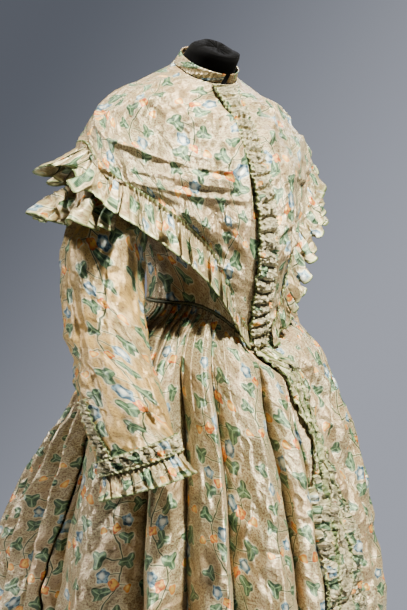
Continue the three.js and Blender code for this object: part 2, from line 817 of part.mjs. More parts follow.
function trimStrip(name, columns, { from, to, top, bottom, height, puff, lift }) {
  const puffs = Math.round((from - to) / puff);
  const rise = (v) => mix(0.45, 1, Math.abs(Math.sin(v * puffs * Math.PI)));
  const surface = (u, v) => frontCloth(mix(-1, 1, u) * mix(top, bottom, v), mix(from, to, v));
  dress.add(
    sheet(name, surface, steps(columns), steps(puffs * 2), {
      lift: CLOTH + lift,
      wall: (u, v) => 2 + height * Math.sin(u * Math.PI) * rise(v),
      flip: true,
      colour: 0xd8cba8,
    }),
  );
}

trimStrip("front_trim_bodice", 3, BODICE_TRIM);
trimStrip("front_trim_skirt", 4, SKIRT_TRIM);

export default dress;
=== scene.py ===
"""A printed silk afternoon dress of about 1850, on a limbless dress form.

Shapes are worked out in millimetres and their meshes are in metres. +Z is up, the front faces -Y and the
wearer's left is +X. A turn is an angle round the body in degrees: 0 at the front, 90 at the wearer's left.
"""

import bmesh
import bpy
import numpy as np
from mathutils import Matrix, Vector


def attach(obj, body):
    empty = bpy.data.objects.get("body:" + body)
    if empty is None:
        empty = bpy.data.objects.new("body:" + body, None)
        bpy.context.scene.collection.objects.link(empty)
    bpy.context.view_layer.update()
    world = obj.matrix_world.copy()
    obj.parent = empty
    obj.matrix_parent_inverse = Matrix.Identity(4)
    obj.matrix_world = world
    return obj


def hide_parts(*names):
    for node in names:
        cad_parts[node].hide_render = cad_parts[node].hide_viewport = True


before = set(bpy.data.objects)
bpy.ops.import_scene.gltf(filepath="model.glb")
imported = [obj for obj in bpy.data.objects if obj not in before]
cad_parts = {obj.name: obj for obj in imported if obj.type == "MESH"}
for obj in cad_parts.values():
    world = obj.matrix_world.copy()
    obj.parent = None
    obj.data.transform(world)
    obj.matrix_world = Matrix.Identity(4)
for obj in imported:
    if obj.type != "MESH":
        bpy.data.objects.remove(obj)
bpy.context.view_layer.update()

# Camera: a long lens at chest height, to the wearer's right of the front.
CAMERA_TURN, CAMERA_RISE, CAMERA_DISTANCE = -42, 6, 2.6
CAMERA_TARGET = Vector((0, 0, 0.93))
FRAME_PIXELS = (407, 610)
FOCAL_PIXELS = 1600
SHIFT_PIXELS = (-6.0, 1.4)
SENSOR = 36


def direction(turn, rise=0):
    """The unit direction at a turn and a rise above level."""
    turn, rise = np.radians(turn), np.radians(rise)
    reach = np.cos(rise)
    return np.stack(np.broadcast_arrays(np.sin(turn) * reach, -np.cos(turn) * reach, np.sin(rise)), -1)


def add_object(name, data):
    made = bpy.data.objects.new(name, data)
    bpy.context.scene.collection.objects.link(made)
    return made


def aimed(name, data, target, turn, rise, distance):
    """A camera or lamp that looks at a target from the side it stands on."""
    made = add_object(name, data)
    away = Vector(direction(turn, rise))
    made.location = target + away * distance
    made.rotation_euler = away.to_track_quat("Z", "Y").to_euler()
    return made


camera_data = bpy.data.cameras.new("camera")
camera_data.sensor_fit = "VERTICAL"
camera_data.sensor_height = SENSOR
camera_data.lens = FOCAL_PIXELS / FRAME_PIXELS[1] * SENSOR
camera_data.shift_x, camera_data.shift_y = (pixels / FRAME_PIXELS[1] for pixels in SHIFT_PIXELS)
camera = aimed("camera", camera_data, CAMERA_TARGET, CAMERA_TURN, CAMERA_RISE, CAMERA_DISTANCE)
bpy.context.scene.camera = camera


# Room: a plain pale floor and a grey-blue studio, with soft square lamps.
def linear(code):
    """The linear colour of an sRGB hex code: each channel to the power 2.4, past a straight foot."""
    channel = np.array([int(code[i : i + 2], 16) for i in (1, 3, 5)]) / 255
    return (*np.where(channel <= 0.04045, channel / 12.92, ((channel + 0.055) / 1.055) ** 2.4), 1)


def add_node(tree, kind, inputs=(), **settings):
    """Adds a shader node with its settings. kind may be followed by the node's operation. inputs are values,
    sockets or nodes, in the sockets' order or by name."""
    kind, *operation = kind.split()
    made = tree.nodes.new("ShaderNode" + kind)
    for name, value in [*zip(["operation"], operation), *settings.items()]:
        setattr(made, name, value)
    for key, value in inputs.items() if isinstance(inputs, dict) else enumerate(inputs):
        if isinstance(value, bpy.types.Node):
            value = value.outputs[0]
        if isinstance(value, bpy.types.NodeSocket):
            tree.links.new(value, made.inputs[key])
        elif value is not None:
            made.inputs[key].default_value = value
    return made


def new_material(name, numbers):
    """A material with a Principled shader and its uniform numbers, as (material, its tree, the shader)."""
    material = bpy.data.materials.new(name)
    material.use_nodes = True
    shader = material.node_tree.nodes["Principled BSDF"]
    for socket, value in numbers.items():
        shader.inputs[socket].default_value = linear(value) if isinstance(value, str) else value
    return material, material.node_tree, shader


# The studio is dim round about. Behind the dress is a painted backdrop, lit from its right-hand side.
world = bpy.data.worlds.new("studio")
world.use_nodes = True
tree = world.node_tree
look = add_node(tree, "TexCoord").outputs["Generated"]
facing = camera.rotation_euler.to_matrix()
ahead, right, above = (
    add_node(tree, "VectorMath DOT_PRODUCT", [look, tuple(facing @ Vector(axis))]).outputs["Value"]
    for axis in ((0, 0, -1), (1, 0, 0), (0, 1, 0))
)
slant = add_node(tree, "Math MULTIPLY_ADD", [above, -0.75, right])
light = add_node(tree, "MapRange", [slant, -0.24, 0.14, 0.0, 1.0], interpolation_type="SMOOTHSTEP")
dark, pale = linear("#5a5e67"), linear("#a8acb8")
backdrop = add_node(tree, "Mix", {"Factor": light, "A": dark, "B": pale}, data_type="RGBA")
edge = add_node(tree, "MapRange", [ahead, 0.88, 0.95, 0.22, 1.0], interpolation_type="SMOOTHSTEP")
tree.links.new(backdrop.outputs[2], tree.nodes["Background"].inputs["Color"])
tree.links.new(edge.outputs[0], tree.nodes["Background"].inputs["Strength"])
bpy.context.scene.world = world

# Lamps as (turn, rise, distance, size, watts, colour), all aimed at the chest.
LAMPS = {
    "key": (4, 60, 3.0, 0.3, 545, "#fffae8"),
    "side": (-138, 36, 3.0, 0.5, 130, "#fffaf2"),
    "back_rim": (120, 40, 3.0, 0.8, 60, "#f4f5ff"),
}
LAMP_AIM = Vector((0, 0, 1.0))
for name, (turn, rise, distance, size, watts, colour) in LAMPS.items():
    lamp_data = bpy.data.lights.new(name, "AREA")
    lamp_data.size = size
    lamp_data.energy = watts
    lamp_data.color = linear(colour)[:3]
    aimed(name, lamp_data, LAMP_AIM, turn, rise, distance)

FLOOR_RADIUS = 1.3
floor_mesh = bpy.data.meshes.new("floor")
floor_builder = bmesh.new()
bmesh.ops.create_circle(floor_builder, cap_ends=True, radius=FLOOR_RADIUS, segments=96)
floor_builder.to_mesh(floor_mesh)
floor_builder.free()
floor = add_object("floor", floor_mesh)
# Matt paint: an even grey floor that reflects nothing sharply.
floor_paint, _, _ = new_material("matt_floor_paint", {"Base Color": "#c4c4c6", "Roughness": 0.85})
floor_mesh.materials.append(floor_paint)


# Dress form: a padded torso covered in black cotton jersey, drawn together on top of the neck, on a painted
# steel pole and a round foot.
MM = 0.001


def table(names, *rows):
    """A table's columns by name, as arrays."""
    return dict(zip(names.split(), np.array(rows, float).T))


def curve(at, rows, name):
    """A table's column at a place in its first column, as a smooth curve through the rows: a cubic on each
    span, whose slope at a row is that of the line between the rows on either side of it."""
    knots, values = next(iter(rows.values())), rows[name]
    last = len(knots) - 1
    here = np.arange(last + 1)
    before, after = np.maximum(here - 1, 0), np.minimum(here + 1, last)
    slope = (values[after] - values[before]) / (knots[after] - knots[before])
    at = np.clip(at, knots[0], knots[-1])
    i = np.clip(np.searchsorted(knots, at, side="right") - 1, 0, last - 1)
    span = knots[i + 1] - knots[i]
    f = (at - knots[i]) / span
    g = 1 - f
    near = values[i] * (1 + 2 * f) + slope[i] * span * f
    far = values[i + 1] * (1 + 2 * g) - slope[i + 1] * span * g
    return near * g * g + far * f * f


def ease(low, high, at):
    """0 below low, 1 above high, and 3f^2 - 2f^3 between."""
    f = np.clip((at - low) / (high - low), 0, 1)
    return f * f * (3 - 2 * f)


def mix(a, b, f):
    return a + (b - a) * f


def wrap(turn):
    """The same turn between -180 and 180."""
    return (turn + 180) % 360 - 180


def ring_point(ring, turn, level):
    """side sin t across, lean sin^2 t less front or back times cos t in depth, and tilt cos t below level."""
    s, c = np.sin(np.radians(turn)), np.cos(np.radians(turn))
    depth = ring["lean"] * s * s - np.where(c > 0, ring["front"], ring["back"]) * c
    return np.stack(np.broadcast_arrays(ring["side"] * s, depth, level - ring["tilt"] * c), -1)


def grid(rows, cols, low=0.0, high=1.0):
    """The two parameters at a grid's corners: u along a row, v down the rows."""
    v, u = np.meshgrid(np.linspace(0, 1, rows), np.linspace(low, high, cols), indexing="ij")
    return u, v


def unit(vectors):
    """The vectors over their lengths."""
    return vectors / np.maximum(np.linalg.norm(vectors, axis=-1, keepdims=True), 1e-9)


def outward(points):
    """The unit direction out of a grid whose rows run down and whose columns run to the wearer's left: the
    cross product of its step down and its step along."""
    return unit(np.cross(np.gradient(points, axis=0), np.gradient(points, axis=1)))


def arc(points, axis):
    """The length along a grid's rows (axis 1) or columns (axis 0), from its first corner."""
    step = np.linalg.norm(np.diff(points, axis=axis), axis=-1)
    zero = np.zeros_like(step[:, :1] if axis == 1 else step[:1])
    return np.concatenate([zero, np.cumsum(step, axis=axis)], axis)


def grid_object(
    name, points, material, wall=0, pattern=None, rim=None, joined=False, node=None
):
    """One mesh from a grid of points in millimetres. pattern is the cloth's own place, in millimetres, at
    each corner of each face, or at each point; rim is how far a point is from a cut edge. joined sews the
    last column to the first. wall is a thickness that is added inwards. The piece stands for the CAD node
    that its own name starts with, or for another node."""
    rows, cols = points.shape[:2]
    index = np.arange(rows * cols).reshape(rows, cols)
    a, b, c, d = index[:-1, :-1], index[1:, :-1], index[1:, 1:], index[:-1, 1:]
    faces = np.stack([a, b, c, d], -1).reshape(-1, 4)
    mesh = bpy.data.meshes.new(name)
    mesh.from_pydata((points.reshape(-1, 3) * MM).tolist(), [], faces.tolist())
    mesh.polygons.foreach_set("use_smooth", np.ones(len(faces), bool))
    if pattern is not None:
        if pattern.ndim == 3:
            pattern = pattern.reshape(-1, 2)[faces]
        layer = mesh.uv_layers.new(name="cloth")
        layer.data.foreach_set("uv", (pattern.reshape(-1) * MM).astype(np.float32))
    if rim is not None:
        attribute = mesh.attributes.new("rim", "FLOAT", "POINT")
        attribute.data.foreach_set("value", np.broadcast_to(rim, (rows, cols)).reshape(-1).astype(np.float32))
    mesh.materials.append(material)
    made = add_object(name, mesh)
    if joined:
        builder = bmesh.new()
        builder.from_mesh(mesh)
        bmesh.ops.remove_doubles(builder, verts=builder.verts, dist=1e-6)
        builder.to_mesh(mesh)
        builder.free()
    if wall:
        thicken = made.modifiers.new("wall", "SOLIDIFY")
        thicken.thickness = wall * MM
        thicken.offset = -1
    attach(made, "root")
    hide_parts(node or name.rsplit("_", 1)[0])
    return made


BODY = table(
    "level side front back lean tilt over_side over_front over_back",
    (800, 163, 105, 140, 0, 0, 8, 6, 6),
    (850, 152, 106, 130, 0, 0, 8, 6, 6),
    (905, 124, 111, 100, 0, 0, 8, 6, 6),
    (955, 108, 119, 86, 0, 0, 8, 6, 6),
    (1000, 112, 128, 87, 1, 0, 14, 6, 6),
    (1040, 121, 131, 94, 3, 0, 28, 6, 7),
    (1095, 138, 126, 104, 9, 0, 66, 8, 9),
    (1147, 150, 111, 111, 18, 0, 88, 12, 12),
    (1195, 161, 90, 110, 30, 3, 58, 15, 14),
    (1243, 154, 67, 93, 38, 10, 25.5, 12, 12),
    (1262, 136, 56, 80, 32, 15, 14, 9, 9),
    (1287, 87, 42, 64, 18, 20, 9, 7, 7),
    (1308, 54, 34, 54, 5, 22, 6, 6, 6),
    (1320, 49, 40, 47, -1, 21, 6, 6, 6),
    (1331, 47, 48, 39, -5, 19, 6, 6, 6),
    (1341, 45, 54, 31, -11, 17, 6, 6, 6),
    (1348, 38, 52, 22, -16, 15, 6, 6, 6),
    (1351, 24, 40, 8, -18, 14, 6, 6, 6),
)
FORM_UNDERSIDE, FORM_TOP = 800, 1351


def body_ring(level):
    """The body's level ring inside the bodice."""
    return {name: curve(level, BODY, name) for name in ("side", "front", "back", "lean", "tilt")}


def body_point(turn, level):
    return ring_point(body_ring(level), turn, level)


def form_cover():
    """Rings of the body drawn in by the padding's gap, closed by a point under the hips and one on the neck,
    where the jersey is gathered into small radial folds."""
    turn, v = grid(150, 181, -180, 180)
    level = mix(FORM_TOP, FORM_UNDERSIDE, v)
    gap = mix(5, 1.2, ease(1235, 1258, level) * (1 - ease(1288, 1304, level)))
    points = body_point(turn, level)
    points = points - outward(points) * gap[..., None]
    points[:, -1] = points[:, 0]
    top, bottom = points[0].mean(0), points[-1].mean(0)
    reach = np.linspace(0, 1, 14)[:-1, None, None]
    lid = mix(top, points[0], reach)
    folds = np.sin(np.radians(turn[0]) * 17) + 0.6 * np.sin(np.radians(turn[0]) * 29 + 1)
    lid[..., 2] += 1.3 * np.sin(np.pi * reach[..., 0]) * folds - 3 * (1 - reach[..., 0]) ** 2
    base = mix(bottom, points[-1], reach[::-1])
    return np.concatenate([lid, points, base])


# Cotton jersey, knitted fine and dyed black: all but no gloss, and a faint bloom at the edges.
JERSEY = {
    "Base Color": "#050506",
    "Roughness": 0.85,
    "Specular IOR Level": 0.04,
    "Sheen Weight": 0.01,
    "Sheen Roughness": 0.5,
}
jersey, tree, shader = new_material("black_cotton_jersey", JERSEY)
place = add_node(tree, "TexCoord").outputs["Object"]
knit = add_node(tree, "TexNoise", {"Vector": place, "Scale": 900.0, "Detail": 2.0})
stretch = add_node(tree, "TexNoise", {"Vector": place, "Scale": 26.0, "Detail": 4.0})
relief = add_node(tree, "Math MULTIPLY_ADD", [knit, 0.35, stretch])
bump = add_node(tree, "Bump", {"Height": relief, "Strength": 0.5, "Distance": 0.0015})
tree.links.new(bump.outputs[0], shader.inputs["Normal"])
grid_object("form_cover", form_cover(), jersey, joined=True, node="form_body")

# Steel under stoved black enamel: a smooth dark coat with soft reflections.
steel, _, _ = new_material("black_enamelled_steel", {"Base Color": "#1b1b1d", "Roughness": 0.35})
for name in ("stand_pole", "stand_foot"):
    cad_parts[name].data.materials.clear()
    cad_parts[name].data.materials.append(steel)


# The cloth: a light silk printed with trailing ivy, small blue and orange flowers and a fine reddish
# vermicelli ground on cream, with a soft lustre. It creases crisply.
REPEAT_WIDE, REPEAT_HIGH = 88, 86  # one sprig; the next column hangs half a repeat lower and is mirrored
LEAVES = ((-24, 24, 18.5, 0.6), (25, 20, 16, 2.2), (-12, -31, 18.5, -1.3))  # x, y, half size, turn
BLUE_FLOWER = (-10, -2, 13.5)  # x, y, half size
ORANGE_FLOWER = (8, -14, 10.5)
SMALL_FLOWER = (31, -22, 8)
VINE_SWAY, VINE_WIDE = 15, 1.2
STALKS = (
    ((9, 20), (-24, 24)),
    ((14, 6), (25, 20)),
    ((6, -28), (-12, -31)),
    ((15, 0), (-9, -3)),
    ((12, -16), (31, -22)),
)
STALK_WIDE = 0.8
SILK = {
    "Metallic": 0.34,
    "Specular IOR Level": 0.9,
    "Sheen Weight": 0.08,
    "Sheen Roughness": 0.35,
    "Sheen Tint": "#fff4de",
}


def printed_silk(name, warm=False, edge=0, ruched=False):
    """The printed silk's material. warm yellows the ground, edge is how wide a pinked and painted edge is in
    millimetres, and ruched lays a dark olive ground mottled with pale in random patches: partly the print
    drawn close by the ruching, partly painted shade for its creases."""
    material, tree, shader = new_material(name, SILK)

    def node(kind, inputs=(), **settings):
        return add_node(tree, kind, inputs, **settings)

    cloth = node("UVMap", uv_map="cloth")
    drawn = node("TexNoise", {"Vector": cloth, "Scale": 45.0, "Detail": 1.0})
    hand = node("VectorMath SUBTRACT", [drawn.outputs["Color"], (0.5, 0.5, 0.5)])
    hand = node("VectorMath SCALE", [hand, None, None, 9.0])
    metres = node("VectorMath SCALE", [cloth, None, None, 1000.0])
    axes = node("SeparateXYZ", [node("VectorMath ADD", [metres, hand])])

    # Fold the plane into one sprig: halves of a repeat down in every second column, mirrored in turn.
    across = node("Math DIVIDE", [axes.outputs["X"], REPEAT_WIDE])
    column = node("Math FLOOR", [across])
    odd_column = node("Math FLOORED_MODULO", [column, 2.0])
    down = node("Math DIVIDE", [axes.outputs["Y"], REPEAT_HIGH])
    down = node("Math MULTIPLY_ADD", [odd_column, 0.5, down])
    row = node("Math FLOOR", [down])
    odd_row = node("Math FLOORED_MODULO", [row, 2.0])
    mirrored = node("Math SUBTRACT", [odd_column, odd_row])
    mirrored = node("Math MULTIPLY", [mirrored, mirrored])
    mirrored = node("Math MULTIPLY_ADD", [mirrored, -2.0, 1.0])
    x = node("Math SUBTRACT", [across, column])
    x = node("Math MULTIPLY_ADD", [x, REPEAT_WIDE, -REPEAT_WIDE / 2])
    x = node("Math MULTIPLY", [x, mirrored])
    y = node("Math SUBTRACT", [down, row])
    y = node("Math MULTIPLY_ADD", [y, REPEAT_HIGH, -REPEAT_HIGH / 2])
    sprig = node("CombineXYZ", [x, y])

    # Each sprig is moved by up to 5.5 mm, and its motifs are turned and resized a little.
    whim = node("TexWhiteNoise", [node("CombineXYZ", [column, row])], noise_dimensions="2D").outputs["Color"]
    moved = node("VectorMath MULTIPLY_ADD", [whim, (11.0, 11.0, 0.0), (-5.5, -5.5, 0.0)])
    moved = node("VectorMath ADD", [sprig, moved])
    whim = node("SeparateXYZ", [whim])
    shrink = node("MapRange", [whim.outputs["Z"], 0.0, 1.0, 0.88, 1.3])

    def motif(at_x, at_y, size, lobes, depth, turn=0.0, tip=0.0):
        """How far inside a lobed round shape a point is, its share of the way out, and the lobes' wave
        cos(lobes angle): the edge is size (1 - depth + depth wave) (1 - tip + tip cos(angle))."""
        arm = node("VectorMath SUBTRACT", [moved, (at_x, at_y, 0)])
        reach = node("VectorMath LENGTH", [arm]).outputs["Value"]
        reach = node("Math MULTIPLY", [reach, shrink])
        parts = node("SeparateXYZ", [arm])
        angle = node("Math ARCTAN2", [parts.outputs["Y"], parts.outputs["X"]])
        angle = node("Math MULTIPLY_ADD", [whim.outputs["X"], 1.2, angle])
        angle = node("Math ADD", [angle, turn])
        wave = node("Math COSINE", [node("Math MULTIPLY", [angle, lobes])])
        limit = node("Math MULTIPLY_ADD", [wave, size * depth, size * (1 - depth)])
        lean = node("Math MULTIPLY_ADD", [node("Math COSINE", [angle]), tip, 1 - tip])
        limit = node("Math MULTIPLY", [limit, lean])
        inside = node("Math SUBTRACT", [limit, reach])
        return inside, node("Math DIVIDE", [reach, size]), wave

    def painted(under, *layers):
        """Colours one over another, as (mask, low, high, colour): none below low and all above high."""
        for mask, low, high, over in layers:
            share = node("MapRange", [mask, low, high, 0.0, 1.0], interpolation_type="SMOOTHSTEP")
            under, over = (linear(colour) if isinstance(colour, str) else colour for colour in (under, over))
            laid_on = node("Mix", {"Factor": share, "A": under, "B": over}, data_type="RGBA")
            under = laid_on.outputs[2]
        return under

    # Stems: the vine x = sway cos(pi y / high) runs on through every sprig, and straight stalks leave it.
    vine = node("Math COSINE", [node("Math MULTIPLY", [y, np.pi / REPEAT_HIGH])])
    gap = node("Math ABSOLUTE", [node("Math MULTIPLY_ADD", [vine, -VINE_SWAY, x])])
    stems = node("Math SUBTRACT", [VINE_WIDE, gap])
    for (from_x, from_y), (to_x, to_y) in STALKS:
        stalk = np.array([to_x - from_x, to_y - from_y, 0.0])
        arm = node("VectorMath SUBTRACT", [sprig, (from_x, from_y, 0)])
        along = node("VectorMath DOT_PRODUCT", [arm, tuple(stalk / (stalk @ stalk))])
        along = node("Math MULTIPLY", [along.outputs["Value"], 1.0], use_clamp=True)
        foot = node("VectorMath SCALE", [tuple(stalk), None, None, along])
        gap = node("VectorMath DISTANCE", [arm, foot]).outputs["Value"]
        gap = node("Math SUBTRACT", [STALK_WIDE, gap])
        stems = node("Math MAXIMUM", [stems, gap])

    # Each ivy leaf has three blunt lobes, the middle one longest, and pale veins along them.
    leaves = veins = -1000.0
    for at_x, at_y, size, turn in LEAVES:
        inside, share, lobe = motif(at_x, at_y, size, 3.0, 0.23, turn, 0.12)
        vein = node("Math MULTIPLY", [node("Math SUBTRACT", [1.0, lobe]), share])
        vein = node("Math SUBTRACT", [node("Math GREATER_THAN", [inside, 0.0]), vein])
        leaves = node("Math MAXIMUM", [leaves, inside])
        veins = node("Math MAXIMUM", [veins, vein])
    blue, blue_share, _ = motif(*BLUE_FLOWER, 5.0, 0.1, 0.0, 0.08)
    orange, orange_share, _ = motif(*ORANGE_FLOWER, 4.0, 0.12, 0.8, 0.1)
    small, small_share, _ = motif(*SMALL_FLOWER, 3.0, 0.14, 0.3)
    drawing = leaves
    for flower in (blue, orange, small):
        drawing = node("Math MAXIMUM", [drawing, flower])

    speck = node("TexNoise", {"Vector": cloth, "Scale": 330.0, "Detail": 3.0, "Roughness": 0.65})
    cloud = node("TexNoise", {"Vector": cloth, "Scale": 9.0, "Detail": 3.0})
    tone = node("TexNoise", {"Vector": cloth, "Scale": 150.0, "Detail": 2.0})

    if ruched:
        # Dark olive mottled with pale: partly the print drawn close by the ruching, partly painted shade for
        # its creases.
        ground = painted("#5f6448", (tone, 0.3, 0.62, "#c2b892"))
    elif warm:
        ground = painted("#bbb088", (speck, 0.4, 0.62, "#70583a"), (cloud, 0.2, 0.6, "#bd9a55"))
    else:
        ground = painted("#bbb088", (speck, 0.4, 0.62, "#70583a"), (cloud, 0.35, 0.75, "#a68a62"))
    # Frills: a darker olive mottle over the ground, partly the frills' own yellow-green tint and partly
    # painted shade for their shadowed flutes.
    if edge and not ruched:
        ground = painted(ground, (tone, 0.3, 0.7, "#8c8458"))
    green = painted(
        "#2a4630", (tone, 0.4, 0.64, "#5d7c55"), (veins, 0.93, 0.99, "#8ba77c"), (leaves, 2.2, 0.2, "#2a4532")
    )
    orange_petals = painted("#efbf52", (orange_share, 0.25, 0.8, "#cc6a1e"), (tone, 0.45, 0.65, "#b04a1c"))
    blue_petals = painted(
        "#2a4d62",
        (tone, 0.42, 0.58, "#84a3b0"),
        (blue_share, 0.55, 0.15, "#e0e2d4"),
        (blue_share, 0.75, 0.98, "#2f5a72"),
    )
    ground = painted(
        ground,
        (speck, 0.52, 0.66, "#74523a"),
        (drawing, -3.2, -0.2, "#c9be98"),
        (stems, -2.4, 0.2, "#cdc298"),
        (stems, -0.35, 0.3, "#343f22"),
        (leaves, -0.7, 0.9, green),
        (orange, -0.4, 0.5, orange_petals),
        (small, -0.4, 0.5, painted("#eec766", (small_share, 0.2, 0.8, "#d5842e"))),
        (blue, -0.4, 0.5, blue_petals),
    )
    if edge:
        rim = node("Attribute", attribute_name="rim").outputs["Fac"]
        ground = painted(ground, (rim, edge * 3.0, edge, "#b9b884"), (rim, edge * 1.3, edge * 0.5, "#5f7040"))
    tree.links.new(ground, shader.inputs["Base Color"])

    # Weft ribs stand 0.5 mm apart on the real cloth, and are drawn at 1.4 mm so that they show.
    ribs = node("TexWave", {"Vector": cloth, "Scale": 230.0, "Distortion": 1.5}, bands_direction="Y")
    bent = node("TexNoise", {"Vector": cloth, "Scale": 14.0, "Detail": 2.0}).outputs["Color"]
    bent = node("VectorMath MULTIPLY_ADD", [bent, (0.06, 0.06, 0.0), cloth])
    wide, narrow = (
        node("TexVoronoi", {"Vector": bent, "Scale": scale}, voronoi_dimensions="2D")
        for scale in (19.0, 52.0)
    )
    sharp = node("TexNoise", {"Vector": bent, "Scale": 24.0, "Detail": 3.0}, noise_type="RIDGED_MULTIFRACTAL")
    relief = node("Math MULTIPLY_ADD", [narrow, 0.35, wide])
    relief = node("Math MULTIPLY_ADD", [sharp, 0.7, relief])
    relief = node("Math MULTIPLY_ADD", [ribs, 0.03, relief])
    bump = node("Bump", {"Height": relief, "Strength": 1.0, "Distance": 0.018 if ruched else 0.009})
    tree.links.new(bump.outputs[0], shader.inputs["Normal"])
    lustre = node("MapRange", [tone, 0.3, 0.7, 0.34, 0.46])
    tree.links.new(lustre.outputs[0], shader.inputs["Roughness"])
    return material


dress_silk = printed_silk("printed_silk")
CLOTH = 1.0  # the visual wall
LIFT = 1.4  # the middle of the cloth above the shape that it is cut for


def crumple(a, b, size, seed):
    """Soft creases from -1 to 1: the mean of seven sine waves of random heading, each bent by the last."""
    dice = np.random.default_rng(seed)
    total, last = 0, 0
    for heading, phase, stretch in dice.uniform((0, 0, 0.6), (2 * np.pi, 2 * np.pi, 1.6), (7, 3)):
        along = a * np.cos(heading) + b * np.sin(heading)
        last = np.sin(2 * np.pi * along / (size * stretch) + phase + 1.4 * last)
        total = total + last
    return total / 7


def crisp(a, b, size, seed):
    """Flat facets between sharp ridges, from about -0.5 to 0.5: 0.5 - 1.8 times the crumple's size."""
    return 0.5 - 1.8 * np.abs(crumple(a, b, size, seed))


def lifted(points, height):
    """A grid moved out of its own surface by a height."""
    return points + outward(points) * np.asarray(height)[..., None]


def laid(points, middle=None):
    """The cloth's own place at a grid's points: lengths along the rows, from a middle column, and down."""
    along = arc(points, 1)
    if middle is not None:
        along = along - along[:, middle : middle + 1]
    return np.stack([along, -arc(points, 0)], -1)


# Bodice: two fronts and a back of the printed silk, fitted by darts that the print hides and cut to a point
# at the waist. The fronts meet edge to edge under the trim.
NECKLINE = 1308
ARMHOLE = {"level": 1195, "half": 48, "turn": 29}
WAIST = {"side": 949, "point": 874, "turn": 62}


def waist_level(turn):
    """The waist seam's height: lowest at the point, rising by the power 1.7 to the side."""
    rise = 1 - np.minimum(np.abs(wrap(turn)) / WAIST["turn"], 1)
    return mix(WAIST["side"], WAIST["point"], rise**1.7)


def bodice_panel(rows, cols, first, last, seed):
    """A panel from one edge to the other, each set back at the armhole by 29 sqrt(1 - ((z - 1195) / 48)^2)
    degrees."""
    u, v = grid(rows, cols)
    level = mix(NECKLINE, waist_level(mix(first, last, u)), v)
    share = (level - ARMHOLE["level"]) / ARMHOLE["half"]
    cut = ARMHOLE["turn"] * np.sqrt(np.maximum(0, 1 - share**2))
    start = first + np.where(abs(first) == 90, cut, 0)
    end = last - np.where(abs(wrap(last)) == 90, cut, 0)
    turn = mix(start, end, u)
    points = body_point(turn, level)
    gathers = 1.3 * np.cos(np.radians(turn) * 40) * ease(1010, 940, level)
    ease_folds = 1.2 * crumple(turn * 2.2, level, 60, seed)
    return lifted(points, LIFT + gathers + ease_folds)


PANELS = {
    "bodice_front_right": (-90, -0.2, (0.24, 0.46), 0.075),
    "bodice_front_left": (0.2, 90, (0.24, 0.46), 0.075),
    "bodice_back": (90, 270, (0.46, 0.46), 0.13),
}
for seed, (name, (first, last, flat, area)) in enumerate(PANELS.items()):
    points = bodice_panel(110, 56 if "front" in name else 100, first, last, seed)
    panel = grid_object(name + "_silk", points, dress_silk, CLOTH, laid(points))


# Neckband: a low stand of the same silk, cut straight, doubled over and set on to the neckline with small
# gathers. It is open at the middle of the front.
NECKBAND = {"from": 7, "to": 353, "foot": 2.4, "height": 15}
NECKBAND_TOP = {"side": 48, "front": 45, "back": 44, "lean": -1, "tilt": 24}
turn, v = grid(16, 420, NECKBAND["from"], NECKBAND["to"])
foot_level = NECKLINE + NECKBAND["foot"]
foot = body_point(turn, NECKLINE + 0 * turn)
foot[..., 2] = body_point(turn, foot_level + 0 * turn)[..., 2]
stand = mix(foot, ring_point(NECKBAND_TOP, turn, foot_level + NECKBAND["height"]), v[..., None])
gathers = 0.9 * np.sin(np.radians(turn) * 47 + 2 * np.sin(np.radians(turn) * 5)) * (1 - 0.6 * v)
stand = lifted(stand, 1.2 + gathers + 1.2 * crumple(turn * 0.9, v * 15, 30, 3))
neckband = grid_object("neckband_silk", stand, dress_silk, CLOTH, laid(stand))


# Piping: a cord covered with a bias strip of dark olive silk, caught in the seam between bodice and skirt.
# It stops at the front, under the trim. The strip is dull, with fine slanting lines.
PIPING = {"from": 11.5, "to": 348.5, "radius": 2.2}
covered_cord, tree, shader = new_material("bias_covered_cord", {"Roughness": 0.6})
strip = add_node(tree, "UVMap", uv_map="cloth")
twill = add_node(
    tree, "TexWave", {"Vector": strip, "Scale": 160.0, "Distortion": 2.0}, bands_direction="DIAGONAL"
)
shade = add_node(tree, "ValToRGB", [twill])
shade.color_ramp.elements[0].color = linear("#2c3120")
shade.color_ramp.elements[1].color = linear("#55583a")
tree.links.new(shade.outputs[0], shader.inputs["Base Color"])
bump = add_node(tree, "Bump", {"Height": twill, "Strength": 0.4, "Distance": 0.0005})
tree.links.new(bump.outputs[0], shader.inputs["Normal"])

angle, v = grid(500, 15, 360, 0)
turn = mix(PIPING["from"], PIPING["to"], v)
centre = body_point(turn, waist_level(turn) - PIPING["radius"] - 0.6)
radius = PIPING["radius"] * np.sqrt(np.minimum(1, (0.5 - np.abs(v - 0.5)) / 0.003))
cord = centre + direction(turn) * (1 + radius * np.cos(np.radians(angle)))[..., None]
cord[..., 2] -= radius * np.sin(np.radians(angle))
pattern = np.stack([angle * 0.04, v * 700], -1)
grid_object("waist_piping_cord", cord, covered_cord, pattern=pattern, joined=True)


# Pelerine collar: two fronts and a back over the shoulders, which hang in soft folds from the neck and are
# drawn into creases at the point of the waist.
LEFT_FULLNESS = 0.62
COLLAR_EDGE = table(
    "turn level",
    (0, 882),
    (10, 893),
    (20, 922),
    (30, 964),
    (45, 1034),
    (60, 1100),
    (75, 1150),
    (90, 1182),
    (110, 1178),
    (130, 1150),
    (155, 1105),
    (180, 1078),
)
FRONT_EDGE_RIGHT = table(
    "level away", (880, 21), (940, 32), (990, 41), (1040, 38), (1100, 33), (1200, 28), (1290, 23), (1310, 22)
)
FRONT_EDGE_LEFT = table("level away", (880, 17), (1000, 17), (1310, 18))
SEAM_TURN = 0.12  # half the gap between two pieces sewn edge to edge
COLLAR_LIFT = 2.0
COLLAR_ACROSS = 2.4  # millimetres a degree, for folds and creases


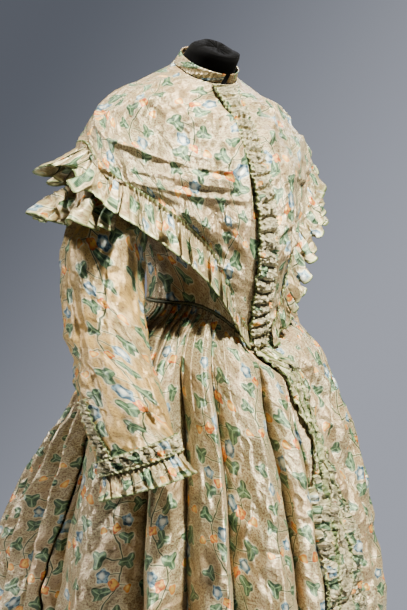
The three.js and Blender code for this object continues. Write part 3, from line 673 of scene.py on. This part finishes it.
def collar_point(turn, level):
    """The body's ring, let out by the collar's stand-off: little in front and behind, most at the sides."""
    over = {name: curve(level, BODY, "over_" + name) for name in ("side", "front", "back")}
    from_middle = 90 - np.abs(90 - np.abs(wrap(turn)))
    fullness = np.where(wrap(turn) < 0, 1, mix(LEFT_FULLNESS, 1, ease(1140, 1200, level)))
    ring = body_ring(level)
    spread = ease(22, 78, from_middle)
    ring["side"] = ring["side"] + mix(np.minimum(8, over["side"]), over["side"] * fullness, spread)
    ring["front"] = ring["front"] + over["front"]
    ring["back"] = ring["back"] + over["back"]
    return ring_point(ring, turn, level)


def neck_ease(level):
    """How far the collar is drawn down where it is sewn to the neckline."""
    return -4.5 * np.exp(-(((NECKLINE - level) / 13) ** 2))


def collar_edge(turn):
    return curve(np.abs(wrap(turn)), COLLAR_EDGE, "level")


def crease(a, b, creases):
    """Soft ridges along straight segments: height sin(pi share) exp(-(distance / width)^2) for each."""
    total = 0
    for from_a, from_b, to_a, to_b, width, height in creases:
        step_a, step_b = to_a - from_a, to_b - from_b
        share = ((a - from_a) * step_a + (b - from_b) * step_b) / (step_a**2 + step_b**2)
        share = np.clip(share, 0, 1)
        gap = np.hypot(a - from_a - share * step_a, b - from_b - share * step_b)
        taper = np.sin(np.pi * mix(0.18, 0.82, share))
        total = total + height * taper * np.exp(-((gap / width) ** 2))
    return total


# Creases as from (across, level) to (across, level), width and height.
COLLAR_CREASES = (
    (24, 1290, 150, 1215, 9, 2.6),
    (40, 1296, 205, 1240, 11, 3.0),
    (22, 1268, 110, 1150, 8, -2.0),
    (60, 1262, 205, 1195, 8, -2.6),
    (90, 1235, 180, 1150, 9, 2.6),
    (30, 925, 66, 1120, 7, 2.6),
    (30, 920, 44, 1060, 6, -2.4),
    (40, 935, 98, 1130, 8, -2.6),
    (48, 950, 122, 1110, 7, 2.4),
    (66, 985, 150, 1130, 8, -2.2),
    (18, 1080, 60, 1200, 9, -1.8),
    (140, 1180, 200, 1235, 7, 2.0),
    (70, 1180, 140, 1200, 10, 2.0),
)


def side_folds(across, level, seed):
    """One side's folds: soft swells, and crisp ones drawn from the shoulder to the waist's point, along
    (0.83, 0.55), plus the creases."""
    drawn, athwart = (0.83 * across + 0.55 * level) / 3.5, 0.83 * level - 0.55 * across
    soft = 6.0 * crumple(across, level, 90, seed) + 10.5 * crisp(drawn, athwart, 85, seed + 1)
    soft = soft + 1.8 * crisp(drawn, athwart, 30, seed + 2) + 0.9 * crisp(across, level, 30, seed + 3)
    return soft + 1.7 * crease(across, level, COLLAR_CREASES)


def collar_folds(turn, level):
    """Each side's own folds, which run on over the shoulder seams and blend at the middle of the back, and
    flatten out 4 mm down, where the collar lies on the bodice."""
    turn = turn % 360
    across = COLLAR_ACROSS * (180 - np.abs(180 - turn))
    both = side_folds(across, level, 12), side_folds(across, level, 10)
    folds = mix(*both, ease(165, 195, turn))
    folds = 2 * np.logaddexp(0, (folds + 4) / 2) - 4
    return folds * ease(1306, 1260, level)


COLLAR_FRONTS = {"right": (-1, FRONT_EDGE_RIGHT, 1, 0), "left": (1, FRONT_EDGE_LEFT, 0, 1)}
for name, (side, front_edge, low, high) in COLLAR_FRONTS.items():
    u, v = grid(150, 110, low, high)
    level = mix(NECKLINE - 1, collar_edge(mix(10, 90, u)), v)
    away = curve(level, front_edge, "away")
    first = np.degrees(np.arcsin(away / (curve(level, BODY, "side") + 8)))
    turn = side * mix(first, 90 - SEAM_TURN, u)
    points = collar_point(turn, level)

    # The front edge is sewn down beside the trim; between neck and point the right one stands 5 mm off.
    near_edge = np.exp(-(((np.abs(turn) - first) / 8) ** 2))
    free = ease(1295, 1230, level) * ease(900, 960, level) if side < 0 else 0
    edge_lift = near_edge * mix(1.6 - curve(level, BODY, "over_front"), 5, free)
    edge_lift = np.where(edge_lift > 0, edge_lift, np.minimum(edge_lift, neck_ease(level)))
    folds = collar_folds(turn, level) * (1 - 0.8 * near_edge)
    points = lifted(points, COLLAR_LIFT + folds + edge_lift)
    collar = grid_object(f"collar_front_{name}_silk", points, dress_silk, CLOTH, laid(points, 55))
    rests_on = [f"bodice_front_{name}_silk", "form_cover"]

turn, v = grid(90, 190, 90 + SEAM_TURN, 270 - SEAM_TURN)
level = mix(NECKLINE - 1, collar_edge(turn), v)
points = collar_point(turn, level)
points = lifted(points, COLLAR_LIFT + collar_folds(turn, level) + neck_ease(level))
collar = grid_object("collar_back_silk", points, dress_silk, CLOTH, laid(points, 95))


# Frills: straight strips with pinked edges painted green, gathered on a thread and stitched over the
# collar's edge, so that a narrow heading stands up and the rest falls in flutes.
FRILL = 0.8
frill_silk = printed_silk("printed_silk_pinked", edge=2.0)
COLLAR_FRILL = table(
    "turn drop flare wave",
    (0, 14, 3, 2),
    (20, 28, 8, 4),
    (40, 44, 20, 8),
    (60, 48, 38, 11),
    (75, 36, 52, 12),
    (90, 26, 56, 12),
    (120, 44, 42, 9),
    (150, 52, 20, 7),
    (180, 50, 13, 6),
)
HEADING = 7  # above the stitches
FLUTE, FULLNESS = 33, 1.75  # a flute's breadth on the seam, and the strip's length over the seam's


def gathered(seam, out, down, depth, flare, wave, flute, gather, seed, rows=30):
    """A frill on a seam line: t mm below the stitches it stands out by flare (t / depth)^1.2, plus flutes
    size (sin(phase) + 0.28 sin(2 phase)) with size = wave (t / depth)^0.8, which lean over by
    0.42 size sin(2 phase), plus creases. Above the stitches the heading ruffles."""
    s = arc(seam[None], 1)[0]
    along = unit(np.gradient(seam, axis=0))
    heading = np.linspace(-HEADING, 0, 5)[:-1, None] + 0 * s
    t = np.concatenate([heading, np.linspace(0, 1, rows)[:, None] * (depth + 0 * s)])
    s, t = np.broadcast_arrays(s, t)
    open_share = np.clip(t / np.maximum(depth, 1), 0, 1)
    heading = np.clip(-t / HEADING, 0, 1)
    phase = 2 * np.pi * (s / flute + 0.2 * np.sin(2 * np.pi * s / (3.3 * flute) + seed))
    phase = phase + 0.9 * np.sin(2 * np.pi * s / (1.7 * flute) + 2 * seed)
    phase = phase + 2.6 * open_share * crumple(s, t, 95, seed + 20)
    fine = 2 * np.pi * s / 6.3 + 1.5 * np.sin(s / 11)
    size = wave * open_share**0.8
    rise = flare * open_share**1.2 + size * (np.sin(phase) + 0.28 * np.sin(2 * phase + 1 + seed))
    rise = rise + 0.8 * np.sin(fine) * np.exp(-((t / 9) ** 2)) + heading * (1.8 + 1.9 * np.sin(0.7 * fine))
    rise = rise + 5 * open_share * crumple(s, t, 26, seed)
    rise = rise + 0.5 * size * (crisp(s, 0.7 * t, 52, seed + 30) + 0.4)
    lean = -0.42 * size * np.sin(2 * phase) + heading * 1.2 * np.sin(0.35 * fine)
    points = seam + down * t[..., None] + out * rise[..., None] + along * lean[..., None]
    return points, np.stack([s * gather, -t], -1), np.minimum(depth - t, t + HEADING)


COLLAR_FRILLS = {
    "right": (-89.7, -11, 560, (0.75, 0.05), ["collar_front_right_silk"]),
    "left": (11, 89.7, 520, (0.7, 0.05), ["collar_front_left_silk"]),
    "back": (90.3, 269.7, 480, (0.95, 0.06), ["collar_back_silk"]),
}
for seed, (name, (first, last, columns, flat, rests_on)) in enumerate(COLLAR_FRILLS.items()):
    turn = np.linspace(first, last, columns)
    size = {key: curve(np.abs(wrap(turn)), COLLAR_FRILL, key) for key in COLLAR_FRILL}
    level = collar_edge(turn) + 6 + np.array([[2.0], [0.0], [-2.0]])
    strip = collar_point(turn + 0 * level, level)
    out = outward(strip)[1]
    less = np.where(wrap(turn) < 0, 1, mix(1, 0.25, ease(0, 80, 90 - np.abs(90 - wrap(turn)))))
    points, pattern, rim = gathered(
        strip[1] + out * 3.4,
        unit(out * (1, 1, 0)),
        np.array([0, 0, -1.0]),
        size["drop"] + 4,
        size["flare"] * less,
        size["wave"] * 1.35,
        FLUTE,
        FULLNESS,
        seed + 1,
    )
    frill = grid_object(f"collar_frill_{name}_silk", points, frill_silk, FRILL, pattern, rim)


# Sleeves: cut in one piece of the same silk with a seam inside the arm, easy at the elbow, and set into the
# armhole under a short frill. The right one is bent forwards.
ARM_COLUMNS = "ring x y z deep wide turn pitch yaw"
SHOULDER_RINGS = ((0, 154, 25, 1195, 48, 48, 4, 0, 0), (1, 163, 25, 1191, 46, 44, 11, 0, 0))
SLEEVE_RIGHT = table(
    ARM_COLUMNS,
    *SHOULDER_RINGS,
    (2, 171, 24, 1178, 47, 41, 22, 0, 0),
    (3, 181, 22, 1153, 49, 38, 42, 0, 0),
    (4, 192, 23, 1118, 50, 40, 68, 0, 0),
    (5, 201, 16, 1075, 62, 51, 84, 0, 0),
    (6, 209, 10, 1026, 67, 57, 90, 2, 0),
    (7, 216, 0, 960, 67, 58, 90, 8, 2),
    (8, 231, -26, 895, 65, 52, 90, 18, 8),
    (9, 245, -58, 844, 63, 46, 90, 24, 18),
    (10, 251, -86, 796, 64, 42, 90, 24, 28),
    (11, 253, -113, 754, 61, 36, 90, 21, 36),
    (12, 253, -133, 720, 59, 32, 90, 18, 42),
)
SLEEVE_LEFT = table(
    ARM_COLUMNS,
    *SHOULDER_RINGS,
    (2, 169, 25, 1178, 46, 39, 22, 0, 0),
    (3, 174, 27, 1153, 48, 35, 42, 0, 0),
    (4, 177, 31, 1118, 51, 37, 68, 0, 0),
    (5, 188, 38, 1075, 58, 48, 84, -4, 0),
    (6, 190, 52, 1026, 58, 50, 90, -8, 0),
    (7, 198, 72, 960, 58, 50, 90, -8, 0),
    (8, 216, 90, 895, 58, 47, 90, -4, 0),
    (9, 238, 98, 836, 58, 43, 90, 2, 0),
    (10, 262, 102, 782, 60, 38, 90, 6, 0),
    (11, 278, 100, 738, 66, 36, 90, 8, 0),
    (12, 288, 97, 702, 70, 34, 90, 8, 0),
)
LAST_RING = 12
RING_STEP = 42  # millimetres, for folds and creases, which are drawn at a millimetre a degree
# Creases as from (angle, ring) to (angle, ring), width and height.
SLEEVE_CREASES = (
    (150, 7.6, 78, 8.0, 6, 5.0),
    (155, 8.1, 95, 8.5, 6, -5.5),
    (160, 8.7, 100, 8.9, 6, 4.0),
    (20, 7.4, 70, 7.9, 7, -2.5),
    (15, 8.3, 62, 8.6, 7, 3.0),
    (60, 4.6, 75, 7.4, 8, 4.0),
    (35, 4.8, 40, 7.0, 8, -4.0),
    (100, 4.9, 112, 7.5, 9, -4.0),
    (135, 5.0, 130, 7.2, 8, 3.5),
    (10, 5.0, 5, 7.5, 8, 3.5),
    (-20, 5.2, -30, 8.0, 9, -3.5),
    (90, 9.2, 40, 11.0, 9, 2.6),
    (140, 9.4, 110, 11.0, 9, -2.6),
    (60, 9.0, 20, 9.8, 8, -2.4),
    (-50, 9.0, -10, 10.6, 9, 2.4),
    (200, 5.0, 210, 8.5, 10, 3.5),
    (235, 5.5, 230, 9.5, 10, -3.5),
)


def sleeve_point(angle, ring, rows, side):
    """A ring along the arm: centre + deep cos(angle) forwards + wide sin(angle) outwards, which starts as the
    armhole's seam."""
    at = {name: curve(ring, rows, name) for name in rows}
    turn, pitch, yaw = (np.radians(at[name]) for name in ("turn", "pitch", "yaw"))
    c, s = np.cos(np.radians(angle)), np.sin(np.radians(angle))
    forwards = np.stack([-np.sin(yaw) * np.cos(pitch), -np.cos(yaw) * np.cos(pitch), np.sin(pitch)], -1)
    outwards = np.stack([np.cos(yaw) * np.sin(turn), -np.sin(yaw) * np.sin(turn), np.cos(turn)], -1)
    centre = np.stack([at["x"], at["y"], at["z"]], -1)
    point = centre + forwards * (at["deep"] * c)[..., None] + outwards * (at["wide"] * s)[..., None]
    seam = body_point(90 - (ARMHOLE["turn"] + 1) * c, ARMHOLE["level"] + (ARMHOLE["half"] + 1) * s)
    out = np.array([0.93, 0, 0.37]) * 3
    return mix(seam + out, point, ease(0, 1, ring)[..., None]) * (side, 1, 1)


def sleeve_folds(angle, ring):
    """The sleeve's creases, and soft lengthwise folds under the frill."""
    round_arm = wrap(angle - 75) + 75
    loose = ease(3, 5.2, ring) * (1 - 0.85 * ease(10.4, 11.5, ring))
    return loose * (
        crease(round_arm, ring * RING_STEP, np.array(SLEEVE_CREASES) * (1, RING_STEP, 1, RING_STEP, 1, 1))
        + 6.0 * crumple(round_arm, ring * 20, 60, 21)
        + 7.0 * crisp(round_arm, ring * 14, 75, 22)
        + 1.3 * crisp(round_arm, ring * 26, 34, 23)
    )


sleeve_silk = printed_silk("printed_silk_sleeve", warm=True)
SHOULDER_SEAM = 3.5  # the ring that the shoulder frill is sewn on
SLEEVES = {"right": (-1, SLEEVE_RIGHT, 270, -90), "left": (1, SLEEVE_LEFT, -90, 270)}
for name, (side, rows, low, high) in SLEEVES.items():
    angle, v = grid(170, 120, low, high)
    ring = v * LAST_RING
    points = sleeve_point(angle, ring, rows, side)
    points = lifted(points, 1.0 + sleeve_folds(angle, ring))
    points[:, -1] = points[:, 0]
    sleeve = grid_object(f"sleeve_{name}_silk", points, sleeve_silk, CLOTH, laid(points, 60), joined=True)

    # The short frill round the top of the sleeve.
    angle = np.linspace(*((192, -20) if side < 0 else (-20, 192)), 420)
    taper = np.sqrt(np.maximum(0, np.sin(np.pi * np.linspace(0, 1, 420))))
    angle, ring = np.broadcast_arrays(angle, SHOULDER_SEAM + np.array([[-0.1], [0], [0.1]]))
    strip = sleeve_point(angle, ring, rows, side)
    points, pattern, rim = gathered(
        strip[1] + outward(strip)[1] * 3.5,
        outward(strip)[1],
        unit(strip[2] - strip[0]),
        mix(34, 108, taper),
        mix(5, 44 if side < 0 else 25, taper),
        15 * taper + 1,
        FLUTE,
        FULLNESS,
        seed=6 + side,
    )
    frill = grid_object(f"shoulder_frill_{name}_silk", points, frill_silk, FRILL, pattern, rim)


# Ruching: strips of the silk with pinked edges painted green, gathered by threads across them into puffs
# and stitched down along the threads, round each cuff and up the slit of each sleeve.
def ruching(t, along, half, puff, height, seed):
    """A strip's height and its distance from the edge: puffs height (1 - t^2)^0.6 |sin(pi along / puff)|^0.7
    over the strip, t from -1 to 1, with fine gathers at the threads and ruffles at the edges."""
    phase = np.pi * (along / puff + 0.3 * np.sin(along / (1.9 * puff) + seed))
    phase = phase + 0.5 * np.sin(2 * t + along / 31)
    pinch = np.abs(np.sin(phase))
    edge = ease(0.62, 0.95, np.abs(t))
    puffs = height * np.maximum(0, 1 - t * t) ** 0.6 * (0.12 + 0.88 * pinch**0.7)
    gathers = 0.9 * np.cos(t * half * 1.15 + np.sin(phase)) * (1 - pinch) * (1 - edge)
    ruffles = edge * (2.4 + 2.3 * np.sin(2 * np.pi * along / 7.5 + 2 * np.sign(t) + np.sin(along / 9)))
    folds = 4 * crumple(t * half, along, 12, seed) * (1 - edge * 0.5)
    return puffs + gathers + ruffles + folds, (1 - np.abs(t)) * half


ruched_silk = printed_silk("printed_silk_ruched", edge=1.7, ruched=True)
CUFF_HALF, SLIT_HALF, SLIT_LENGTH = 14, 11.5, 74
for name, (side, rows, low, high) in SLEEVES.items():
    last_rings = sleeve_point(np.array([90.0, 90.0]), np.array([LAST_RING - 1.0, LAST_RING]), rows, side)
    ring_length = np.linalg.norm(np.diff(last_rings, axis=0))

    # The band round the wrist.
    angle, v = grid(26, 480, low, high)
    from_end = mix(33, 5, v)
    points = sleeve_point(angle, LAST_RING - from_end / ring_length, rows, side)
    round_cuff = arc(points, 1)
    height, rim = ruching(2 * v - 1, round_cuff, CUFF_HALF, 15, 6, 31)
    points = lifted(points, 3.2 + height)
    points[:, -1] = points[:, 0]
    pattern = np.stack([round_cuff * 1.6, -v * 30], -1)
    band = grid_object(
        f"cuff_trim_{name}_silk", points, ruched_silk, FRILL, pattern, rim, joined=True
    )

    # The strip up the slit at the outer back of the sleeve.
    u, v = grid(130, 26, 1, -1) if side < 0 else grid(130, 26, -1, 1)
    from_end = mix(34 + SLIT_LENGTH, 34, v)
    points = sleeve_point(128 + u * SLIT_HALF, LAST_RING - from_end / ring_length, rows, side)
    height, rim = ruching(u, v * SLIT_LENGTH, SLIT_HALF, 15, 5, 37)
    points = lifted(points, 3.2 + height)
    pattern = np.stack([u * SLIT_HALF, -v * SLIT_LENGTH * 1.6], -1)
    strip = grid_object(
        f"slit_trim_{name}_silk", points, ruched_silk, FRILL, pattern, rim
    )

    # The frill that falls over the hand.
    ring = np.minimum(LAST_RING + np.array([[-0.05], [0], [0.05]]) - 5 / ring_length, LAST_RING)
    strip = sleeve_point(*np.broadcast_arrays(np.linspace(low, high, 500), ring), rows, side)
    out, down = outward(strip)[1], unit(strip[2] - strip[0])
    around = arc(strip[1][None], 1)[0, -1]
    points, pattern, rim = gathered(strip[1] + out * 3.4, out, down, 36, 12, 4.5, around / 18, 1.5, seed=0)
    points[:, -1] = points[:, 0]
    frill = grid_object(f"cuff_frill_{name}_silk", points, frill_silk, FRILL, pattern, rim, joined=True)


# Skirt: six straight breadths set under the piping in knife pleats, which open below into deep uneven folds
# over the petticoats.
SKIRT = table(
    "level side front back",
    (15, 375, 345, 540),
    (455, 277, 278, 446),
    (560, 262, 264, 402),
    (690, 240, 231, 290),
    (770, 224, 200, 204),
    (850, 202, 160, 146),
    (905, 154, 125, 130),
    (932, 130, 123, 106),
    (945, 114, 118, 93),
)
# A fold runs from its own turn to the next one's. It starts to open this far below the seam, and peak is
# where its ridge stands, as a share of its breadth. The lower its crest's power, the flatter the ridge.
FOLDS = table(
    "turn depth start peak crest",
    (-175, 46, 10, 0.65, 0.8),
    (-161, 40, 20, 0.55, 0.9),
    (-149, 46, 0, 0.7, 0.8),
    (-138, 48, 10, 0.72, 0.8),
    (-127, 54, 20, 0.7, 0.9),
    (-114, 50, 10, 0.7, 0.9),
    (-101, 58, 20, 0.5, 0.5),
    (-67, 56, 30, 0.45, 0.9),
    (-51, 64, 20, 0.84, 0.8),
    (-34, 60, 10, 0.56, 0.75),
    (-9, 16, 0, 0.5, 0.8),
    (0, 3, 60, 0.5, 1),
    (10, 3, 60, 0.5, 1),
    (20, 22, 60, 0.45, 0.8),
    (32, 28, 50, 0.6, 0.8),
    (46, 26, 40, 0.4, 0.8),
    (58, 30, 30, 0.55, 0.7),
    (69, 34, 20, 0.6, 0.9),
    (79, 32, 10, 0.5, 0.8),
    (88, 36, 30, 0.6, 0.9),
    (98, 34, 10, 0.5, 0.7),
    (109, 42, 20, 0.6, 0.8),
    (121, 38, 0, 0.4, 0.8),
    (133, 40, 20, 0.55, 0.9),
    (145, 46, 10, 0.6, 0.7),
    (158, 40, 20, 0.45, 0.8),
    (171, 44, 10, 0.5, 0.8),
)
HEM = 15
SKIRT_DROP = 2 * PIPING["radius"] + 1.2


def fold_at(turn):
    """The number of the fold at a turn, and how far across it the turn is."""
    first = FOLDS["turn"][0]
    ends = np.append(FOLDS["turn"], first + 360)
    turn = (turn - first) % 360 + first
    k = np.clip(np.searchsorted(ends, turn, side="right") - 1, 0, len(FOLDS["turn"]) - 1)
    return k, (turn - ends[k]) / (ends[k + 1] - ends[k])


def fold_height(turn, drop):
    """1.2 depth times (0.35 sin^0.7 + 0.65 of a straight-sided ridge)^crest, less 0.8 at the top to 0.62
    lower down, across the fold, as it opens."""
    k, across = fold_at(turn)
    peak = FOLDS["peak"][k]
    half = np.where(across < peak, across / peak, (1 - across) / (1 - peak)) / 2
    opened = ease(FOLDS["start"][k] - 40, FOLDS["start"][k] + 170, drop)
    ridge = (0.35 * np.sin(np.pi * half) ** 0.7 + 0.65 * 2 * half) ** FOLDS["crest"][k]
    return 1.2 * FOLDS["depth"][k] * opened * (ridge - mix(0.8, 0.62, ease(90, 500, drop)))


SKIRT_ACROSS = 4  # millimetres a degree, for creases
# Drag lines as from (across, level) to (across, level), width and height.
SKIRT_CREASES = (
    (52, 770, 128, 640, 16, -12),
    (70, 780, 140, 680, 14, 9),
    (44, 700, 120, 560, 14, 8),
    (60, 640, 130, 540, 18, -9),
    (56, 845, 110, 770, 10, -12),
    (64, 860, 120, 800, 9, 8),
    (-40, 800, -72, 690, 12, -8),
    (-110, 760, -160, 600, 14, 7),
    (-196, 700, -240, 560, 14, -8),
    (-60, 560, -110, 430, 16, 7),
    (-290, 640, -330, 500, 16, 8),
    (-420, 700, -450, 520, 16, -8),
    (260, 720, 300, 560, 16, -9),
    (420, 640, 380, 460, 16, 8),
    (560, 720, 590, 520, 18, -9),
    (-350, 900, -322, 790, 28, -14),
    (-264, 800, -245, 700, 22, -11),
)


def skirt_top(turn):
    return waist_level(turn) - SKIRT_DROP


def skirt_point(turn, level):
    """The bodice's shape let out into the petticoats' dome within 38 mm, plus knife pleats that die out
    within 190 mm, the folds and slack creases between them."""
    drop = skirt_top(turn) - level
    dome = ring_point(
        {name: curve(level, SKIRT, name) for name in ("side", "front", "back")}
        | {"lean": 0, "tilt": 0},
        turn,
        level,
    )
    points = mix(body_point(turn, level), dome, ease(0, 38, drop)[..., None])
    swing = turn + 1.2 * crumple(turn * 3, level, 420, 5) * ease(40, 260, drop)
    pleat = (swing / 5.2 + 0.3 * np.sin(swing / 7)) % 1
    pleats = (5 + 3 * np.sin(swing / 11)) * (pleat**1.5 - 0.45) * ease(230, 30, drop)
    across = turn * SKIRT_ACROSS
    slack = 8.0 * crumple(across, level * 0.45, 90, 8) + 7.0 * crisp(across, level * 0.3, 100, 9)
    slack = slack + 2.2 * crisp(across, level * 0.6, 45, 10)
    height = fold_height(swing, drop) + pleats + slack * ease(20, 160, drop)
    height = height + crease(wrap(turn) * SKIRT_ACROSS, level, SKIRT_CREASES)
    return points + direction(turn) * height[..., None]


BREADTHS = {
    "skirt_front": (-34, 32, 210, (0.72, 0.86)),
    "skirt_side_left": (32, 88, 170, (0.72, 0.93)),
    "skirt_back_left": (88, 145, 170, (0.8, 0.95)),
    "skirt_back": (145, 199, 170, (0.75, 0.95)),
    "skirt_back_right": (199, 257, 180, (0.8, 0.95)),
    "skirt_side_right": (257, 326, 200, (0.85, 0.93)),
}
for name, (first, last, columns, flat) in BREADTHS.items():
    turn, v = grid(120, columns, first + SEAM_TURN, last - SEAM_TURN)
    top = skirt_top(turn)
    level = mix(top, HEM, v**1.15)
    points = lifted(skirt_point(turn, level), 1.0)

    # The print runs down each fold from its own place at the hem, so the pleats take in what is between.
    along = arc(points, 1)
    offset = np.zeros((len(along), columns - 1))
    face_fold = fold_at((turn[-1, 1:] + turn[-1, :-1]) / 2)[0]
    for k in np.unique(face_fold):
        ridge = np.flatnonzero(face_fold == k).mean().astype(int)
        offset[:, face_fold == k] = (along[-1, ridge] - along[:, ridge])[:, None]
    down = np.broadcast_to(-arc(points, 0)[:, columns // 2 : columns // 2 + 1], along.shape)
    corners = [(slice(None, -1), 0), (slice(1, None), 0), (slice(1, None), 1), (slice(None, -1), 1)]
    pattern = np.stack(
        [
            np.stack([along[r, c : columns - 1 + c] + offset[r] + first * 5, down[r, : columns - 1]], -1)
            for r, c in corners
        ],
        2,
    )
    breadth = grid_object(name + "_silk", points, dress_silk, CLOTH, pattern)


# Front trim: one column of ruched puffs down the bodice, and on the skirt three side by side, which widen
# to the hem.
def front_cloth(away, level):
    """The cloth under the trim: the bodice as far as its point, then the skirt at asin(away / side) past the
    trim's drift to the left."""
    turn = np.degrees(np.arcsin(away / curve(np.maximum(level, WAIST["point"]), BODY, "side")))
    below = WAIST["point"] - level
    drift = mix(7.5 * ease(0, 40, below), 6, ease(40, 200, below))
    straight = drift + np.degrees(np.arcsin(away / curve(level, SKIRT, "side")))
    skirt_turn = mix(turn, straight, ease(0, 40, skirt_top(0 * turn) - level))
    on_bodice = (level > skirt_top(turn))[..., None]
    return np.where(on_bodice, body_point(turn, level), skirt_point(skirt_turn, level))


TRIM_TOP, TRIM_JOIN, TRIM_FOOT, TRIM_HALF = 1305, 872, 20, 19.5
RUCHING = 1.6  # the strip's length over the trim's
across, v = grid(580, 32, -1, 1)
level = mix(TRIM_TOP, TRIM_JOIN, v)
half = TRIM_HALF + 5 * ease(1225, 1300, level) + 1.3 * np.sin(level / 6.2) + 0.8 * np.sin(level / 3.7)
points = front_cloth(across * half, level)
height, rim = ruching(across, TRIM_TOP - level, TRIM_HALF, 21, 10, 41)
points = lifted(points, 5.2 + height)
pattern = np.stack([across * TRIM_HALF, -RUCHING * (TRIM_TOP - level)], -1)
trim = grid_object("front_trim_bodice_silk", points, ruched_silk, FRILL, pattern, rim)
rests_on = ["bodice_front_right_silk", "bodice_front_left_silk"]

TRIM_STRIPS = ((-1, -0.36), (-0.36, 0.3), (0.3, 1))
TRIM_EDGES = table(
    "level right left",
    (20, 78, -78),
    (300, 62, -58),
    (510, 54, -45),
    (632, 44, -31),
    (692, 20, -22),
    (730, 6, -14),
    (752, 6, -13),
    (773, 6, -20),
    (810, 13, -24),
    (853, 20, -20),
    (867, 19, -19),
)
across, v = grid(640, 60, -1, 1)
down = mix(0, TRIM_JOIN - 5 - TRIM_FOOT, v)
level = TRIM_JOIN - 5 - down
left_edge, right_edge = (curve(level, TRIM_EDGES, side) for side in ("left", "right"))
half = (right_edge - left_edge) / 2
points = front_cloth(mix(left_edge, right_edge, across / 2 + 0.5), level)
height, rim = 0, 0
for number, (left, right) in enumerate(TRIM_STRIPS):
    t = (2 * across - left - right) / (right - left)
    strip_half = half * (right - left) / 2
    strip_height, strip_rim = ruching(
        t + 0.12 * np.sin(level / 17 + number), down, strip_half, mix(17, 44, v), 8.5, 43 + number
    )
    inside = np.abs(t) <= 1
    height, rim = np.where(inside, strip_height, height), np.where(inside, np.abs(strip_rim), rim)
points = lifted(points, 4.6 + height * mix(0.8, 1, v))
pattern = np.stack([across * half, -RUCHING * down], -1)
trim = grid_object("front_trim_skirt_silk", points, ruched_silk, FRILL, pattern, rim)
